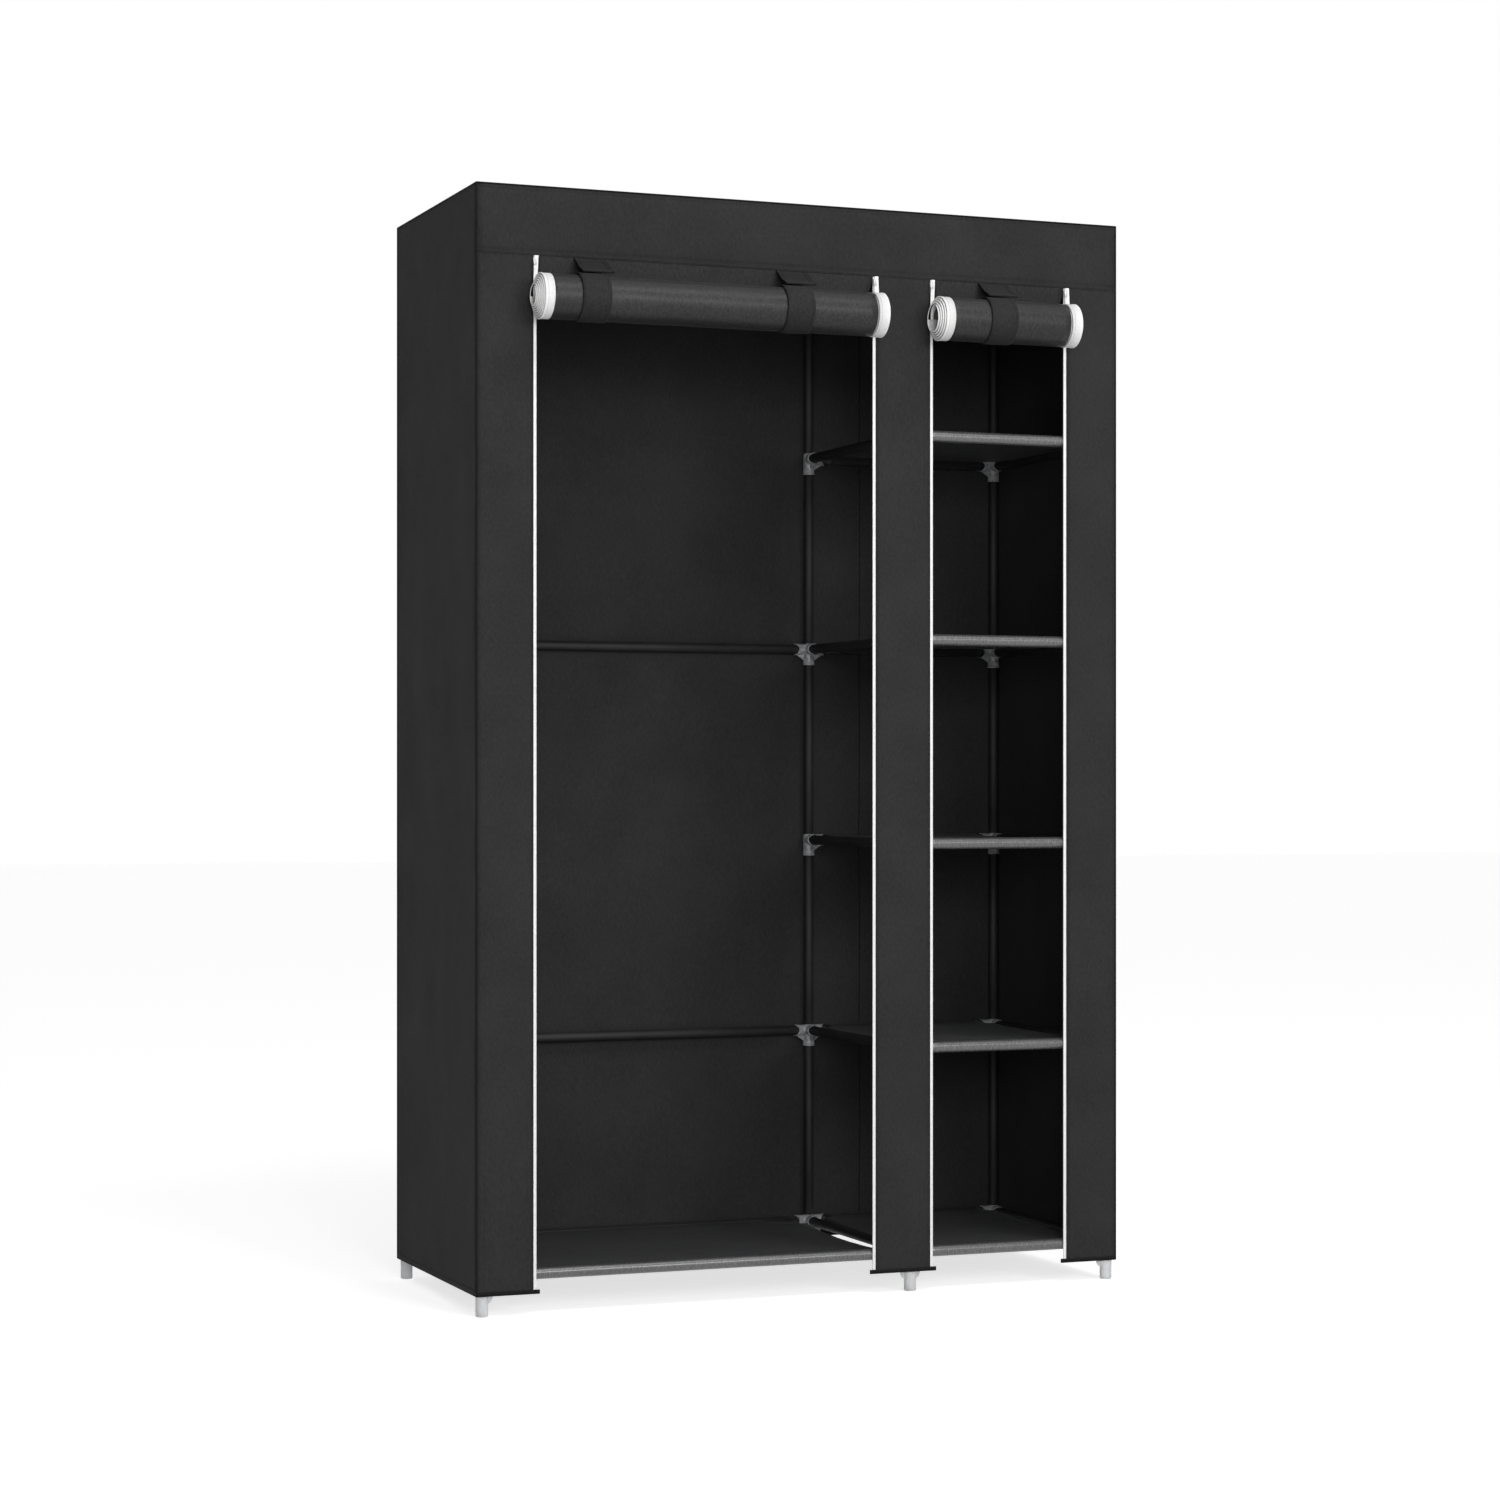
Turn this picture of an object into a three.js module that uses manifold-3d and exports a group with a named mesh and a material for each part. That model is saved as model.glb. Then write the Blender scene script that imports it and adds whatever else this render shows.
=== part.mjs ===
// Portable fabric wardrobe: a cloth cover over a frame of steel tubes and moulded connectors.
// Millimetres, +Z up, doors towards -Y. The origin is on the ground, below the middle of the whole object.
import * as THREE from "three";
import { mergeVertices } from "three/addons/utils/BufferGeometryUtils.js";
import Module from "manifold-3d";

const wasm = await Module();
wasm.setup();

// Cover
const coverWidth = 1100;
const coverDepth = 450;
const coverTop = 1740;
const coverBottom = 33;
const headerHeight = 106;
const cloth = 1.2;
const leftStripWidth = 93.5;
const middleStripWidth = 100;
const rightStripWidth = 92.5;
const leftDoorWidth = 572;
const hemHeight = 8;
const hemOverrun = 8;
const hemProud = 1;

// Frame
const tubeRadius = 8;
const tubeWall = 0.7;
const sleeveRadius = 10.5;
const sleeveDrop = 27;
const armRadius = 10;
const armReach = 29;
const capThickness = 2;
const footRadius = 9.25;
const footHeight = 30;
const bottomLevel = 62;
const levelPitch = 330;
const levelCount = 5;
const railLevels = [1, 3];
const middleInset = 32.5;
const shelfClearance = 4.5;

// Hanging rail
const railDrop = 26;
const clipRadius = 10;
const clipLength = 18;
const clipSocketLength = 26;
const clipWebWidth = 12;

// Door rolls
const rollRadius = 36.5;
const coreRadius = 15;
const rollTurns = 6;
const rollCloth = 1.8;
const rollDrop = 68;
const rollDrift = 11;
const tapeWidth = 15;
const tapeCreep = 6;
const bandWidth = 46;
const bandThickness = 1.2;
const bandDrift = 12;
const bandDegrees = [-285, -6];
const runClearance = 0.6;
const dropInset = 6;

// Straps, by how far along its door each one's middle lies
const strapShares = { left: [0.1556, 0.7456], right: [0.4483] };
const flapWidth = 50;
const flapThickness = 1.6;

// Zip sliders
const sliderWidth = 10;
const sliderHeight = 15;
const sliderDepth = 5;
const sliderDrop = 5;
const pullWidth = 6;
const pullLength = 20;
const pullThickness = 1.2;

// Fineness and clearance
const gap = 0.3;
const overrun = 2;
const tubeSides = 8;
const stepsPerTurn = 12;
const bandSteps = 20;

// Worked-out places, with the middle of the cover as x = 0, y = 0
const halfWidth = coverWidth / 2;
const halfDepth = coverDepth / 2;
const inset = cloth + gap + sleeveRadius;
const leftX = inset - halfWidth;
const rightX = halfWidth - inset;
const rearY = halfDepth - inset;
const frontY = -rearY;
const seamZ = coverTop - headerHeight;
const wallTop = coverTop - cloth - gap;
const topLevel = wallTop - armRadius;
const rodEnd = sleeveRadius + gap;
const doors = {
  left: [leftStripWidth - halfWidth, leftStripWidth - halfWidth + leftDoorWidth],
  right: [leftStripWidth - halfWidth + leftDoorWidth + middleStripWidth, halfWidth - rightStripWidth],
};
const middleUprightX = doors.right[0] - middleInset;
const bandOuter = rollRadius + bandThickness;
const straps = Object.fromEntries(Object.entries(doors).map(
  ([side, [low, high]]) => [side, strapShares[side].map((share) => low + (high - low) * share)],
));
const rollY = -halfDepth - hemProud - runClearance - bandOuter;
const rollZ = seamZ - rollDrop;
const frontReach = -rollY + bandOuter;
const middleShift = (frontReach - halfDepth) / 2;

const levelZ = (k) => (k === "top" ? topLevel : bottomLevel + k * levelPitch);

// Materials
const paint = (color, roughness, metalness) => new THREE.MeshStandardMaterial({ color, roughness, metalness });
const looks = {
  cover: paint(0x303032, 0.9, 0),
  shelf: paint(0x232325, 0.85, 0),
  tube: paint(0x161617, 0.35, 0.6),
  connector: paint(0x8d9093, 0.45, 0),
  tape: paint(0xe9e9e9, 0.8, 0),
  slider: paint(0xb8b8bb, 0.3, 0.9),
};

const part = new THREE.Group();
const standing = new THREE.Group();
standing.position.y = middleShift;
part.add(standing);

function place(name, geometry, material) {
  const mesh = new THREE.Mesh(geometry, material);
  mesh.name = name;
  standing.add(mesh);
}

// Extrusions along each axis: the outline's x and y become the next two axes in turn
const turns = {
  x: [new THREE.Vector3(0, 1, 0), new THREE.Vector3(0, 0, 1), new THREE.Vector3(1, 0, 0)],
  y: [new THREE.Vector3(0, 0, 1), new THREE.Vector3(1, 0, 0), new THREE.Vector3(0, 1, 0)],
  z: [new THREE.Vector3(1, 0, 0), new THREE.Vector3(0, 1, 0), new THREE.Vector3(0, 0, 1)],
};

function along(axis, shape, low, high) {
  const geometry = new THREE.ExtrudeGeometry(shape, { depth: high - low, bevelEnabled: false });
  geometry.translate(0, 0, low);
  geometry.applyMatrix4(new THREE.Matrix4().makeBasis(...turns[axis]));
  return geometry;
}

function polygonPoints(radius) {
  const points = [];
  for (let i = 0; i < tubeSides; i += 1) {
    const angle = (2 * Math.PI * i) / tubeSides;
    points.push(new THREE.Vector2(radius * Math.cos(angle), radius * Math.sin(angle)));
  }
  return points;
}

// A round bar, or a tube where an inner radius is given
function round(axis, low, high, radius, inner = 0) {
  const shape = new THREE.Shape(polygonPoints(radius));
  if (inner > 0) {
    shape.holes.push(new THREE.Path(polygonPoints(inner).reverse()));
  }
  return along(axis, shape, low, high);
}

function box(x, y, z) {
  const geometry = new THREE.BoxGeometry(x[1] - x[0], y[1] - y[0], z[1] - z[0]);
  return geometry.translate((x[0] + x[1]) / 2, (y[0] + y[1]) / 2, (z[0] + z[1]) / 2);
}

function toSolid(geometry) {
  const bare = geometry.clone();
  bare.deleteAttribute("normal");
  bare.deleteAttribute("uv");
  const merged = mergeVertices(bare);
  const vertProperties = Float32Array.from(merged.attributes.position.array);
  const triVerts = Uint32Array.from(merged.index.array);
  return new wasm.Manifold(new wasm.Mesh({ numProp: 3, vertProperties, triVerts }));
}

function toGeometry(solid) {
  const mesh = solid.getMesh();
  const geometry = new THREE.BufferGeometry();
  geometry.setAttribute("position", new THREE.BufferAttribute(mesh.vertProperties, 3));
  geometry.setIndex(new THREE.BufferAttribute(mesh.triVerts, 1));
  geometry.computeVertexNormals();
  return geometry;
}

const joined = (geometries) => geometries.map(toSolid).reduce((whole, next) => whole.add(next));
const cut = (solid, geometries) => geometries.map(toSolid).reduce((rest, next) => rest.subtract(next), solid);

// Uprights: one tube in each corner and one at the middle of the front and of the rear
const columns = { left: leftX, middle: middleUprightX, right: rightX };
const rows = { front: frontY, rear: rearY };

function uprights() {
  for (const [row, y] of Object.entries(rows)) {
    for (const [column, x] of Object.entries(columns)) {
      const top = topLevel + armRadius - capThickness - gap;
      const tube = round("z", footHeight + gap, top, tubeRadius, tubeRadius - tubeWall);
      place(`upright_${row}_${column}`, tube.translate(x, y, 0), looks.tube);
    }
  }
}

// Depth rails: a tube from front to rear with its two moulded connectors, sideways sockets and feet
function connectorShell(x, y, z, sockets, isBottom) {
  const inward = Math.sign(-y);
  const arm = [y, y + inward * armReach].sort((a, b) => a - b);
  const shell = [
    round("z", z - sleeveDrop, z + armRadius, sleeveRadius).translate(x, y, 0),
    round("y", arm[0], arm[1], armRadius).translate(x, 0, z),
  ];
  for (const side of sockets) {
    const reach = [x, x + side * armReach].sort((a, b) => a - b);
    shell.push(round("x", reach[0], reach[1], armRadius).translate(0, y, z));
  }
  if (isBottom) {
    shell.push(round("z", 0, z, footRadius).translate(x, y, 0));
  }
  return shell;
}

function connectorBores(x, y, z, sockets, level) {
  const bore = tubeRadius + gap;
  const low = level === 0 ? footHeight : z - sleeveDrop - overrun;
  const high = level === "top" ? z + armRadius - capThickness : z + armRadius + overrun;
  const bores = [round("z", low, high, bore).translate(x, y, 0)];
  for (const side of sockets) {
    const reach = [x + side * sleeveRadius, x + side * (armReach + overrun)].sort((a, b) => a - b);
    bores.push(round("x", reach[0], reach[1], bore).translate(0, y, z));
  }
  return bores;
}

function depthRail(column, level, frontSockets, rearSockets) {
  const x = columns[column];
  const z = levelZ(level);
  const shell = [round("y", frontY, rearY, tubeRadius).translate(x, 0, z)];
  const bores = [round("y", frontY, rearY, tubeRadius - tubeWall).translate(x, 0, z)];
  for (const [y, sockets] of [[frontY, frontSockets], [rearY, rearSockets]]) {
    shell.push(...connectorShell(x, y, z, sockets, level === 0));
    bores.push(...connectorBores(x, y, z, sockets, level));
  }
  place(`depth_rail_${column}_${level}`, toGeometry(cut(joined(shell), bores)), looks.connector);
}

function depthRails() {
  const levels = [...Array(levelCount).keys(), "top"];
  for (const level of levels) {
    const isEnd = level === 0 || level === "top";
    const hasRail = railLevels.includes(level);
    if (isEnd || hasRail) {
      depthRail("left", level, isEnd ? [1] : [], [1]);
    }
    depthRail("middle", level, isEnd ? [-1, 1] : [1], isEnd || hasRail ? [-1, 1] : [1]);
    depthRail("right", level, [-1], [-1]);
  }
}

// Cross rails, seated in the connectors' sockets
function crossRail(name, from, to, y, z) {
  const tube = round("x", from + rodEnd, to - rodEnd, tubeRadius, tubeRadius - tubeWall);
  place(name, tube.translate(0, y, z), looks.tube);
}

function crossRails() {
  for (const level of railLevels) {
    crossRail(`back_rail_${level}`, leftX, middleUprightX, rearY, levelZ(level));
  }
  for (const [row, y] of Object.entries(rows)) {
    crossRail(`top_rail_${row}_left`, leftX, middleUprightX, y, topLevel);
    crossRail(`top_rail_${row}_right`, middleUprightX, rightX, y, topLevel);
  }
}

// Hanging rail, in two clips threaded on the top depth rails
function hangingRail() {
  const z = topLevel - railDrop;
  const bore = tubeRadius + gap;
  const ends = { left: [leftX, 1], right: [middleUprightX, -1] };
  for (const [name, [x, side]] of Object.entries(ends)) {
    const socket = [x - side * clipRadius, x + side * clipSocketLength].sort((a, b) => a - b);
    const mouth = [x, x + side * (clipSocketLength + overrun)].sort((a, b) => a - b);
    const half = clipLength / 2;
    const shell = joined([
      round("y", -half, half, clipRadius).translate(x, 0, topLevel),
      round("x", socket[0], socket[1], clipRadius).translate(0, 0, z),
      box([x - clipWebWidth / 2, x + clipWebWidth / 2], [-half, half], [z, topLevel]),
    ]);
    const bores = [
      round("y", -half - overrun, half + overrun, bore).translate(x, 0, topLevel),
      round("x", mouth[0], mouth[1], bore).translate(0, 0, z),
    ];
    place(`hanging_rail_clip_${name}`, toGeometry(cut(shell, bores)), looks.connector);
  }
  const tube = round("x", leftX + gap, middleUprightX - gap, tubeRadius, tubeRadius - tubeWall);
  place("hanging_rail", tube.translate(0, 0, z), looks.tube);
}

// Shelves: cloth with a sleeve along the front and rear, each sleeve round its rod
function shelf(name, from, to, z) {
  const sleeve = [from + armReach + gap, to - armReach - gap];
  const sleeveOuter = tubeRadius + cloth;
  const layer = [z + tubeRadius, z + sleeveOuter];
  const edge = tubeRadius + shelfClearance;
  const shell = [box(sleeve, [frontY, rearY], layer)];
  shell.push(box([from + edge, to - edge], [frontY + armReach + gap, rearY - armReach - gap], layer));
  const bores = [];
  for (const y of Object.values(rows)) {
    shell.push(round("x", sleeve[0], sleeve[1], sleeveOuter).translate(0, y, z));
    shell.push(round("x", from + rodEnd, to - rodEnd, tubeRadius).translate(0, y, z));
    bores.push(round("x", from, to, tubeRadius - tubeWall).translate(0, y, z));
  }
  place(name, toGeometry(cut(joined(shell), bores)), looks.shelf);
}

function shelves() {
  shelf("shelf_left_0", leftX, middleUprightX, levelZ(0));
  for (let k = 0; k < levelCount; k += 1) {
    shelf(`shelf_right_${k}`, middleUprightX, rightX, levelZ(k));
  }
}

// Cover: roof, back, sides, header and the fixed strips beside the doors
function cover() {
  const wide = [-halfWidth, halfWidth];
  const front = [-halfDepth, cloth - halfDepth];
  const back = [halfDepth - cloth, halfDepth];
  const between = [front[1] + gap, back[0] - gap];
  const full = [coverBottom, wallTop];
  const walls = {
    roof: [wide, [-halfDepth, halfDepth], [coverTop - cloth, coverTop]],
    back: [wide, back, full],
    side_left: [[-halfWidth, cloth - halfWidth], between, full],
    side_right: [[halfWidth - cloth, halfWidth], between, full],
    header: [wide, front, [seamZ, wallTop]],
  };
  for (const [name, sides] of Object.entries(walls)) {
    place(`cover_${name}`, box(...sides), looks.cover);
  }
  const proud = [front[0] - hemProud, front[1]];
  const strips = {
    left: [[-halfWidth, doors.left[0]], [0, hemOverrun]],
    middle: [[doors.left[1], doors.right[0]], [hemOverrun, hemOverrun]],
    right: [[doors.right[1], halfWidth], [hemOverrun, 0]],
  };
  for (const [name, [x, past]] of Object.entries(strips)) {
    const strip = box(x, front, [coverBottom, seamZ - gap]);
    const hem = box([x[0] - past[0], x[1] + past[1]], proud, [coverBottom, coverBottom + hemHeight]);
    place(`cover_strip_${name}`, toGeometry(joined([strip, hem])), looks.cover);
  }
}

// A spiral in the plane across a roll: it starts at the rear and winds down, forward and up
const rollPitch = (rollRadius - coreRadius - rollCloth) / rollTurns;

function spiralShape() {
  const outer = [];
  const inner = [];
  const steps = rollTurns * stepsPerTurn;
  for (let i = 0; i <= steps; i += 1) {
    const turn = i / stepsPerTurn;
    const angle = -2 * Math.PI * turn;
    const radius = rollRadius - rollPitch * turn;
    outer.push(new THREE.Vector2(radius * Math.cos(angle), radius * Math.sin(angle)));
    const inside = radius - rollCloth;
    inner.push(new THREE.Vector2(inside * Math.cos(angle), inside * Math.sin(angle)));
  }
  return new THREE.Shape([...outer, ...inner.reverse()]);
}

// Points of an arc round the roll's middle, by angle from the rear, up being positive
function arcPoints(radius, from, to, steps) {
  const points = [];
  for (let i = 0; i <= steps; i += 1) {
    const angle = from + ((to - from) * i) / steps;
    points.push(new THREE.Vector2(radius * Math.cos(angle), radius * Math.sin(angle)));
  }
  return points;
}

function strapBand(middle) {
  const [from, to] = bandDegrees.map(THREE.MathUtils.degToRad);
  const outer = arcPoints(bandOuter, from, to, bandSteps);
  const inner = arcPoints(rollRadius - rollPitch - rollCloth, to, from, bandSteps);
  const low = middle - bandDrift - bandWidth / 2;
  return along("x", new THREE.Shape([...outer, ...inner]), low, low + bandWidth);
}

// Zip tape wound at a roll's end, its inner turns crept outwards
function tapeCoil(side) {
  const coil = along("x", spiralShape(), 0, tapeWidth);
  const position = coil.attributes.position;
  for (let i = 0; i < position.count; i += 1) {
    const radius = Math.hypot(position.getY(i), position.getZ(i));
    const depthShare = (rollRadius - radius) / (rollRadius - coreRadius);
    const isOuterEnd = side > 0 ? position.getX(i) > tapeWidth / 2 : position.getX(i) < tapeWidth / 2;
    if (isOuterEnd) {
      position.setX(i, position.getX(i) + side * tapeCreep * depthShare);
    }
  }
  return coil;
}

function doorRoll(side) {
  const [low, high] = doors[side].map((x) => x - rollDrift);
  const cylinder = along("x", spiralShape(), low + tapeWidth + gap, high - tapeWidth - gap);
  const roll = joined([cylinder, ...straps[side].map(strapBand)]);
  place(`door_roll_${side}`, toGeometry(roll).translate(0, rollY, rollZ), looks.cover);
  place(`zip_coil_${side}_1`, tapeCoil(-1).translate(low, rollY, rollZ), looks.tape);
  place(`zip_coil_${side}_2`, tapeCoil(1).translate(high - tapeWidth, rollY, rollZ), looks.tape);
}

// Loose cloth between the header's seam and the roll's rear, where the roll begins
function doorDrop(side) {
  const [low, high] = doors[side];
  const foot = rollY + rollRadius - rollCloth / 2;
  const head = -halfDepth + cloth / 2;
  const half = cloth / 2;
  const shape = new THREE.Shape([
    new THREE.Vector2(foot - half, rollZ + gap),
    new THREE.Vector2(foot + half, rollZ + gap),
    new THREE.Vector2(head + half, seamZ - gap),
    new THREE.Vector2(head - half, seamZ - gap),
  ]);
  place(`door_drop_${side}`, along("x", shape, low + dropInset, high - dropInset), looks.cover);
}

// A strap's flap: flat from the seam down to the top of the roll, where it ends.
// It folds about its upper rear edge, and its rear end is upright, so that it clears the header as it lifts
function strapFlap(name, middle) {
  const root = new THREE.Vector2(-halfDepth - gap, seamZ);
  const tip = new THREE.Vector2(rollY, rollZ + bandOuter + gap + flapThickness);
  const heading = tip.clone().sub(root).angle();
  const down = new THREE.Vector2(-Math.sin(heading), Math.cos(heading)).multiplyScalar(flapThickness);
  const under = new THREE.Vector2(root.x, root.y + flapThickness / Math.cos(heading));
  const shape = new THREE.Shape([under, root, tip, tip.clone().add(down)]);
  const low = middle - flapWidth / 2;
  place(name, along("x", shape, low, low + flapWidth), looks.cover);
}

// Zip sliders, parked at the tops of the zips, with their pulls hanging behind the rolls
function zipSlider(name, x) {
  const rear = -halfDepth - gap;
  const top = seamZ - sliderDrop;
  const low = top - sliderHeight;
  const body = box([x - sliderWidth / 2, x + sliderWidth / 2], [rear - sliderDepth, rear], [low, top]);
  const pullSide = [x - pullWidth / 2, x + pullWidth / 2];
  const pull = box(pullSide, [rear - pullThickness, rear], [low - pullLength, top]);
  place(name, toGeometry(joined([body, pull])), looks.slider);
}

uprights();
depthRails();
crossRails();
hangingRail();
shelves();
cover();
for (const side of Object.keys(doors)) {
  doorRoll(side);
  doorDrop(side);
  doors[side].forEach((x, i) => zipSlider(`zip_slider_${side}_${i + 1}`, x));
}
Object.values(straps).flat().forEach((middle, i) => strapFlap(`strap_flap_${i + 1}`, middle));

export default part;
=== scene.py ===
"""Looks of a portable fabric wardrobe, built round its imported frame. Metres, +Z up, doors towards -Y."""
from math import atan2, cos, dist, pi, radians, sin

import bmesh
import bpy
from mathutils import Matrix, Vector, noise


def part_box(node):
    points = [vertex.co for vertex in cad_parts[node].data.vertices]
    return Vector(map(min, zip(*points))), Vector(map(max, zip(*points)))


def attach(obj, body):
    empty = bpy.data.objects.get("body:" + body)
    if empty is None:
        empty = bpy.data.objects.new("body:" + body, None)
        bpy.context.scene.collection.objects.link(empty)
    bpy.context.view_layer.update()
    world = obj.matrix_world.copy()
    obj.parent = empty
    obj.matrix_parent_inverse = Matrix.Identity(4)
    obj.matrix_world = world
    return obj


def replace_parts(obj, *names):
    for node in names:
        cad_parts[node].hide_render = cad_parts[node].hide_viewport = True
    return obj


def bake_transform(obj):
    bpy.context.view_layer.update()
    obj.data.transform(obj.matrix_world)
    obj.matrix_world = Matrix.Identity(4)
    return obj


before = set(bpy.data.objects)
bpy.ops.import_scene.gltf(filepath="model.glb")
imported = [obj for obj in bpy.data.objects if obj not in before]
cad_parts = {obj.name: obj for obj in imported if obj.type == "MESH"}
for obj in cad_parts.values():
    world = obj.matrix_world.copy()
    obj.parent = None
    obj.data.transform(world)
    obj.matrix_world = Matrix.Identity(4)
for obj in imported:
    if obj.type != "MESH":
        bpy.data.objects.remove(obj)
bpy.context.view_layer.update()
scene = bpy.context.scene
MM = 0.001
UP = Vector((0, 0, 1))

# The photograph's camera: its focal length and shift are in pixels of a square frame
CAMERA_PLACE = (-2.02, -5.082, 0.8124)
CAMERA_TURN = -0.3765
FRAME_PIXELS = 1500
FOCAL_PIXELS = 3303
SHIFT_PIXELS = 37.7
SENSOR_WIDTH = 36

# Lamps, each with its place, aim, size and power, and the strengths of world and floor
LAMPS = {
    "key": ((1.2, -5.2, 2.4), (0, 0, 1.0), (2.4, 1.8), 90),
    "fill": ((-1.6, -5.6, 1.5), (0, 0, 0.9), (1.6, 1.6), 80),
    "overhead": ((0.4, -2.4, 4.4), (0, 0, 1.5), (2.6, 1.2), 52),
}
WORLD_LIGHT = 0.25
FLOOR_GLOW = 0.7
FLOOR_SIZE = 60

# Cloth, hems, piping and stitches
CLOTH = 0.9 * MM
WALL_CLOTH = 1.2 * MM
HEM_OVERRUN = 8 * MM
HEM_HEIGHT = 8 * MM
HEM_PROUD = 0.9 * MM
CORD_RADIUS = 1.2 * MM
TAB_HEIGHT = 5.5 * MM
PIPING_RADIUS = 1.3 * MM
PIPING_SIDES = 8
PIPING_LIP = 0.2 * MM
STITCH_SPACING = 4.2 * MM
STITCH_LENGTH = 2.6 * MM
STITCH_WIDTH = 0.9 * MM
STITCH_HEIGHT = 0.45 * MM

# Tubes and connectors; the foot's web is given by points out from the foot and below the arm's middle
TUBE_RADIUS = 8 * MM
TUBE_WALL = 0.7 * MM
TUBE_RIM = 0.4 * MM
TUBE_SIDES = 28
TUBE_GAP = 1 * MM
ROD_END = 10.8 * MM
SOCKET_SIDES = 36
SLEEVE_RADIUS = 10.5 * MM
SLEEVE_DROP = 27 * MM
ARM_RADIUS = 10 * MM
ARM_REACH = 29 * MM
BORE_RADIUS = 8.3 * MM
MOUTH_NOTCH = 10 * MM
MOUTH_LIP = 1.5 * MM
WEB_LOW = -19 * MM
FOOT_RADIUS = 9.8 * MM
FOOT_WEB = [(out * MM, z * MM) for out, z in ((0, -42), (3.6, -40.5), (6, -37), (7.4, -31), (8.2, -24))]
FOOT_TOP = -12 * MM

# Shelves
SHELF_SIDE_GAP = 4.5 * MM
WIDE_SIDE_GAP = 8.5 * MM
SLEEVE_STEPS = 17
SLEEVE_ANGLE = 235
SHELF_HEM = 16 * MM
WRAPPED_RADIUS = TUBE_RADIUS + CLOTH
WIDE_SAG = 14 * MM
NARROW_SAG = 9 * MM
EDGE_DROOP = 6.5 * MM

# Cover walls, whose folds stay clear of what they lie against
STRIP_FOLDS = {"left": 1.0 * MM, "middle": 0.9 * MM, "right": 1.7 * MM}
SINK_NEAR_RAIL = 0.2 * MM
SINK_SLOPE = 0.12
RAIL_ZONE = 32 * MM
CREASE_OFFSET = 101 * MM
CREASE_WIDTH = 26 * MM
CREASE_HEIGHT = 3.5 * MM
CREASE_CORD = 1.0 * MM

# Door rolls, zips and straps
ROLL_RADIUS = 36.5 * MM
ROLL_PITCH = 3.28 * MM
ROLL_DROP = 68 * MM
ROLL_STANDOFF = 39.3 * MM
ROLL_TURNS = {"left": 7, "right": 5}
HEM_TURNS = {"left": 0, "right": 1}
HEM_PAST = 11 * MM
TURN_STEPS = 40
DROP_STEPS = 40
DROP_BILLOW = 2.2 * MM
DROP_UNDER_TAPE = 1.8 * MM
TAPE_WIDTH = 15 * MM
TAPE_THICKNESS = 1.3 * MM
TAPE_PROUD = 0.25 * MM
TAPE_BEAD = 0.55 * MM
TAPE_LAP = {"left": 5.5 * MM, "right": 3 * MM}
COIL_STEPS = 44
RIGHT_END_SHIFT = 2 * MM
FIRST_TURN_WIDTH = 9.5 * MM
ZIP_INSET = 2 * MM
ZIP_PITCH = 2 * MM
STUB_SHIFT = 2.2 * MM
STUB_LEAN = {1: -4 * MM, 2: 1.4 * MM}
SLIDER_WIDTH = 6.6 * MM
SLIDER_HEIGHT = 11 * MM
BAND_WIDTH = 46 * MM
BAND_DRIFT = 12 * MM


# Places, taken from the frame

def middle_of(node):
    """The middle of a node's box."""
    low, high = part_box(node)
    return (low + high) / 2


roof_low, roof_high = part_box("cover_roof")
left, right = roof_low.x, roof_high.x
front, back = roof_low.y, roof_high.y
top = roof_high.z
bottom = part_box("cover_back")[0].z
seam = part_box("cover_header")[0].z
width, depth, height = right - left, back - front, top - bottom
ends = [end.x for name in ("left", "middle", "right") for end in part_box("cover_strip_" + name)]
doors = {"left": (ends[1] - HEM_OVERRUN, ends[2] + HEM_OVERRUN),
         "right": (ends[3] - HEM_OVERRUN, ends[4] + HEM_OVERRUN)}
cuts = (left, *doors["left"], *doors["right"], right)
strips = {"left": cuts[:2], "middle": cuts[2:4], "right": cuts[4:]}
columns = {c: middle_of("upright_front_" + c).x for c in ("left", "middle", "right")}
rows = {r: middle_of("upright_" + r + "_left").y for r in ("front", "rear")}
levels = {k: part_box("depth_rail_middle_" + str(k))[1].z - ARM_RADIUS for k in (0, 1, 2, 3, 4, "top")}
levels_of = {c: [k for k in levels if f"depth_rail_{c}_{k}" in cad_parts] for c in columns}
rail_levels = [k for k in levels if f"back_rail_{k}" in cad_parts]
all_heights = list(levels.values())
left_heights = [levels[k] for k in levels_of["left"]]
drop_y = front + WALL_CLOTH / 2
roll_y = front - ROLL_STANDOFF
roll_z = seam - ROLL_DROP


def fill(thing, **values):
    """Sets several of a thing's properties."""
    for name, value in values.items():
        setattr(thing, name, value)
    return thing


def placed(name, data):
    """A new object in the scene."""
    made = bpy.data.objects.new(name, data)
    scene.collection.objects.link(made)
    return made


# Camera and light

def add_camera():
    """The photograph's viewpoint: level, turned to the object's left side, a little below its middle."""
    data = bpy.data.cameras.new("camera")
    camera = placed("camera", data)
    x, y, z = CAMERA_PLACE
    camera.location = (x, y + (front + back) / 2, z)
    camera.rotation_euler = (pi / 2, 0, CAMERA_TURN)
    fill(data, sensor_width=SENSOR_WIDTH, lens=SENSOR_WIDTH * FOCAL_PIXELS / FRAME_PIXELS,
         shift_y=SHIFT_PIXELS / FRAME_PIXELS)
    scene.camera = camera


def add_lamps():
    """Soft rectangular lamps."""
    for name, (place, aim, (wide, high), power) in LAMPS.items():
        data = bpy.data.lights.new(name, "AREA")
        fill(data, shape="RECTANGLE", size=wide, size_y=high, energy=power)
        lamp = placed(name, data)
        lamp.location = place
        lamp.rotation_euler = (Vector(aim) - Vector(place)).to_track_quat("-Z", "Y").to_euler()


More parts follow.
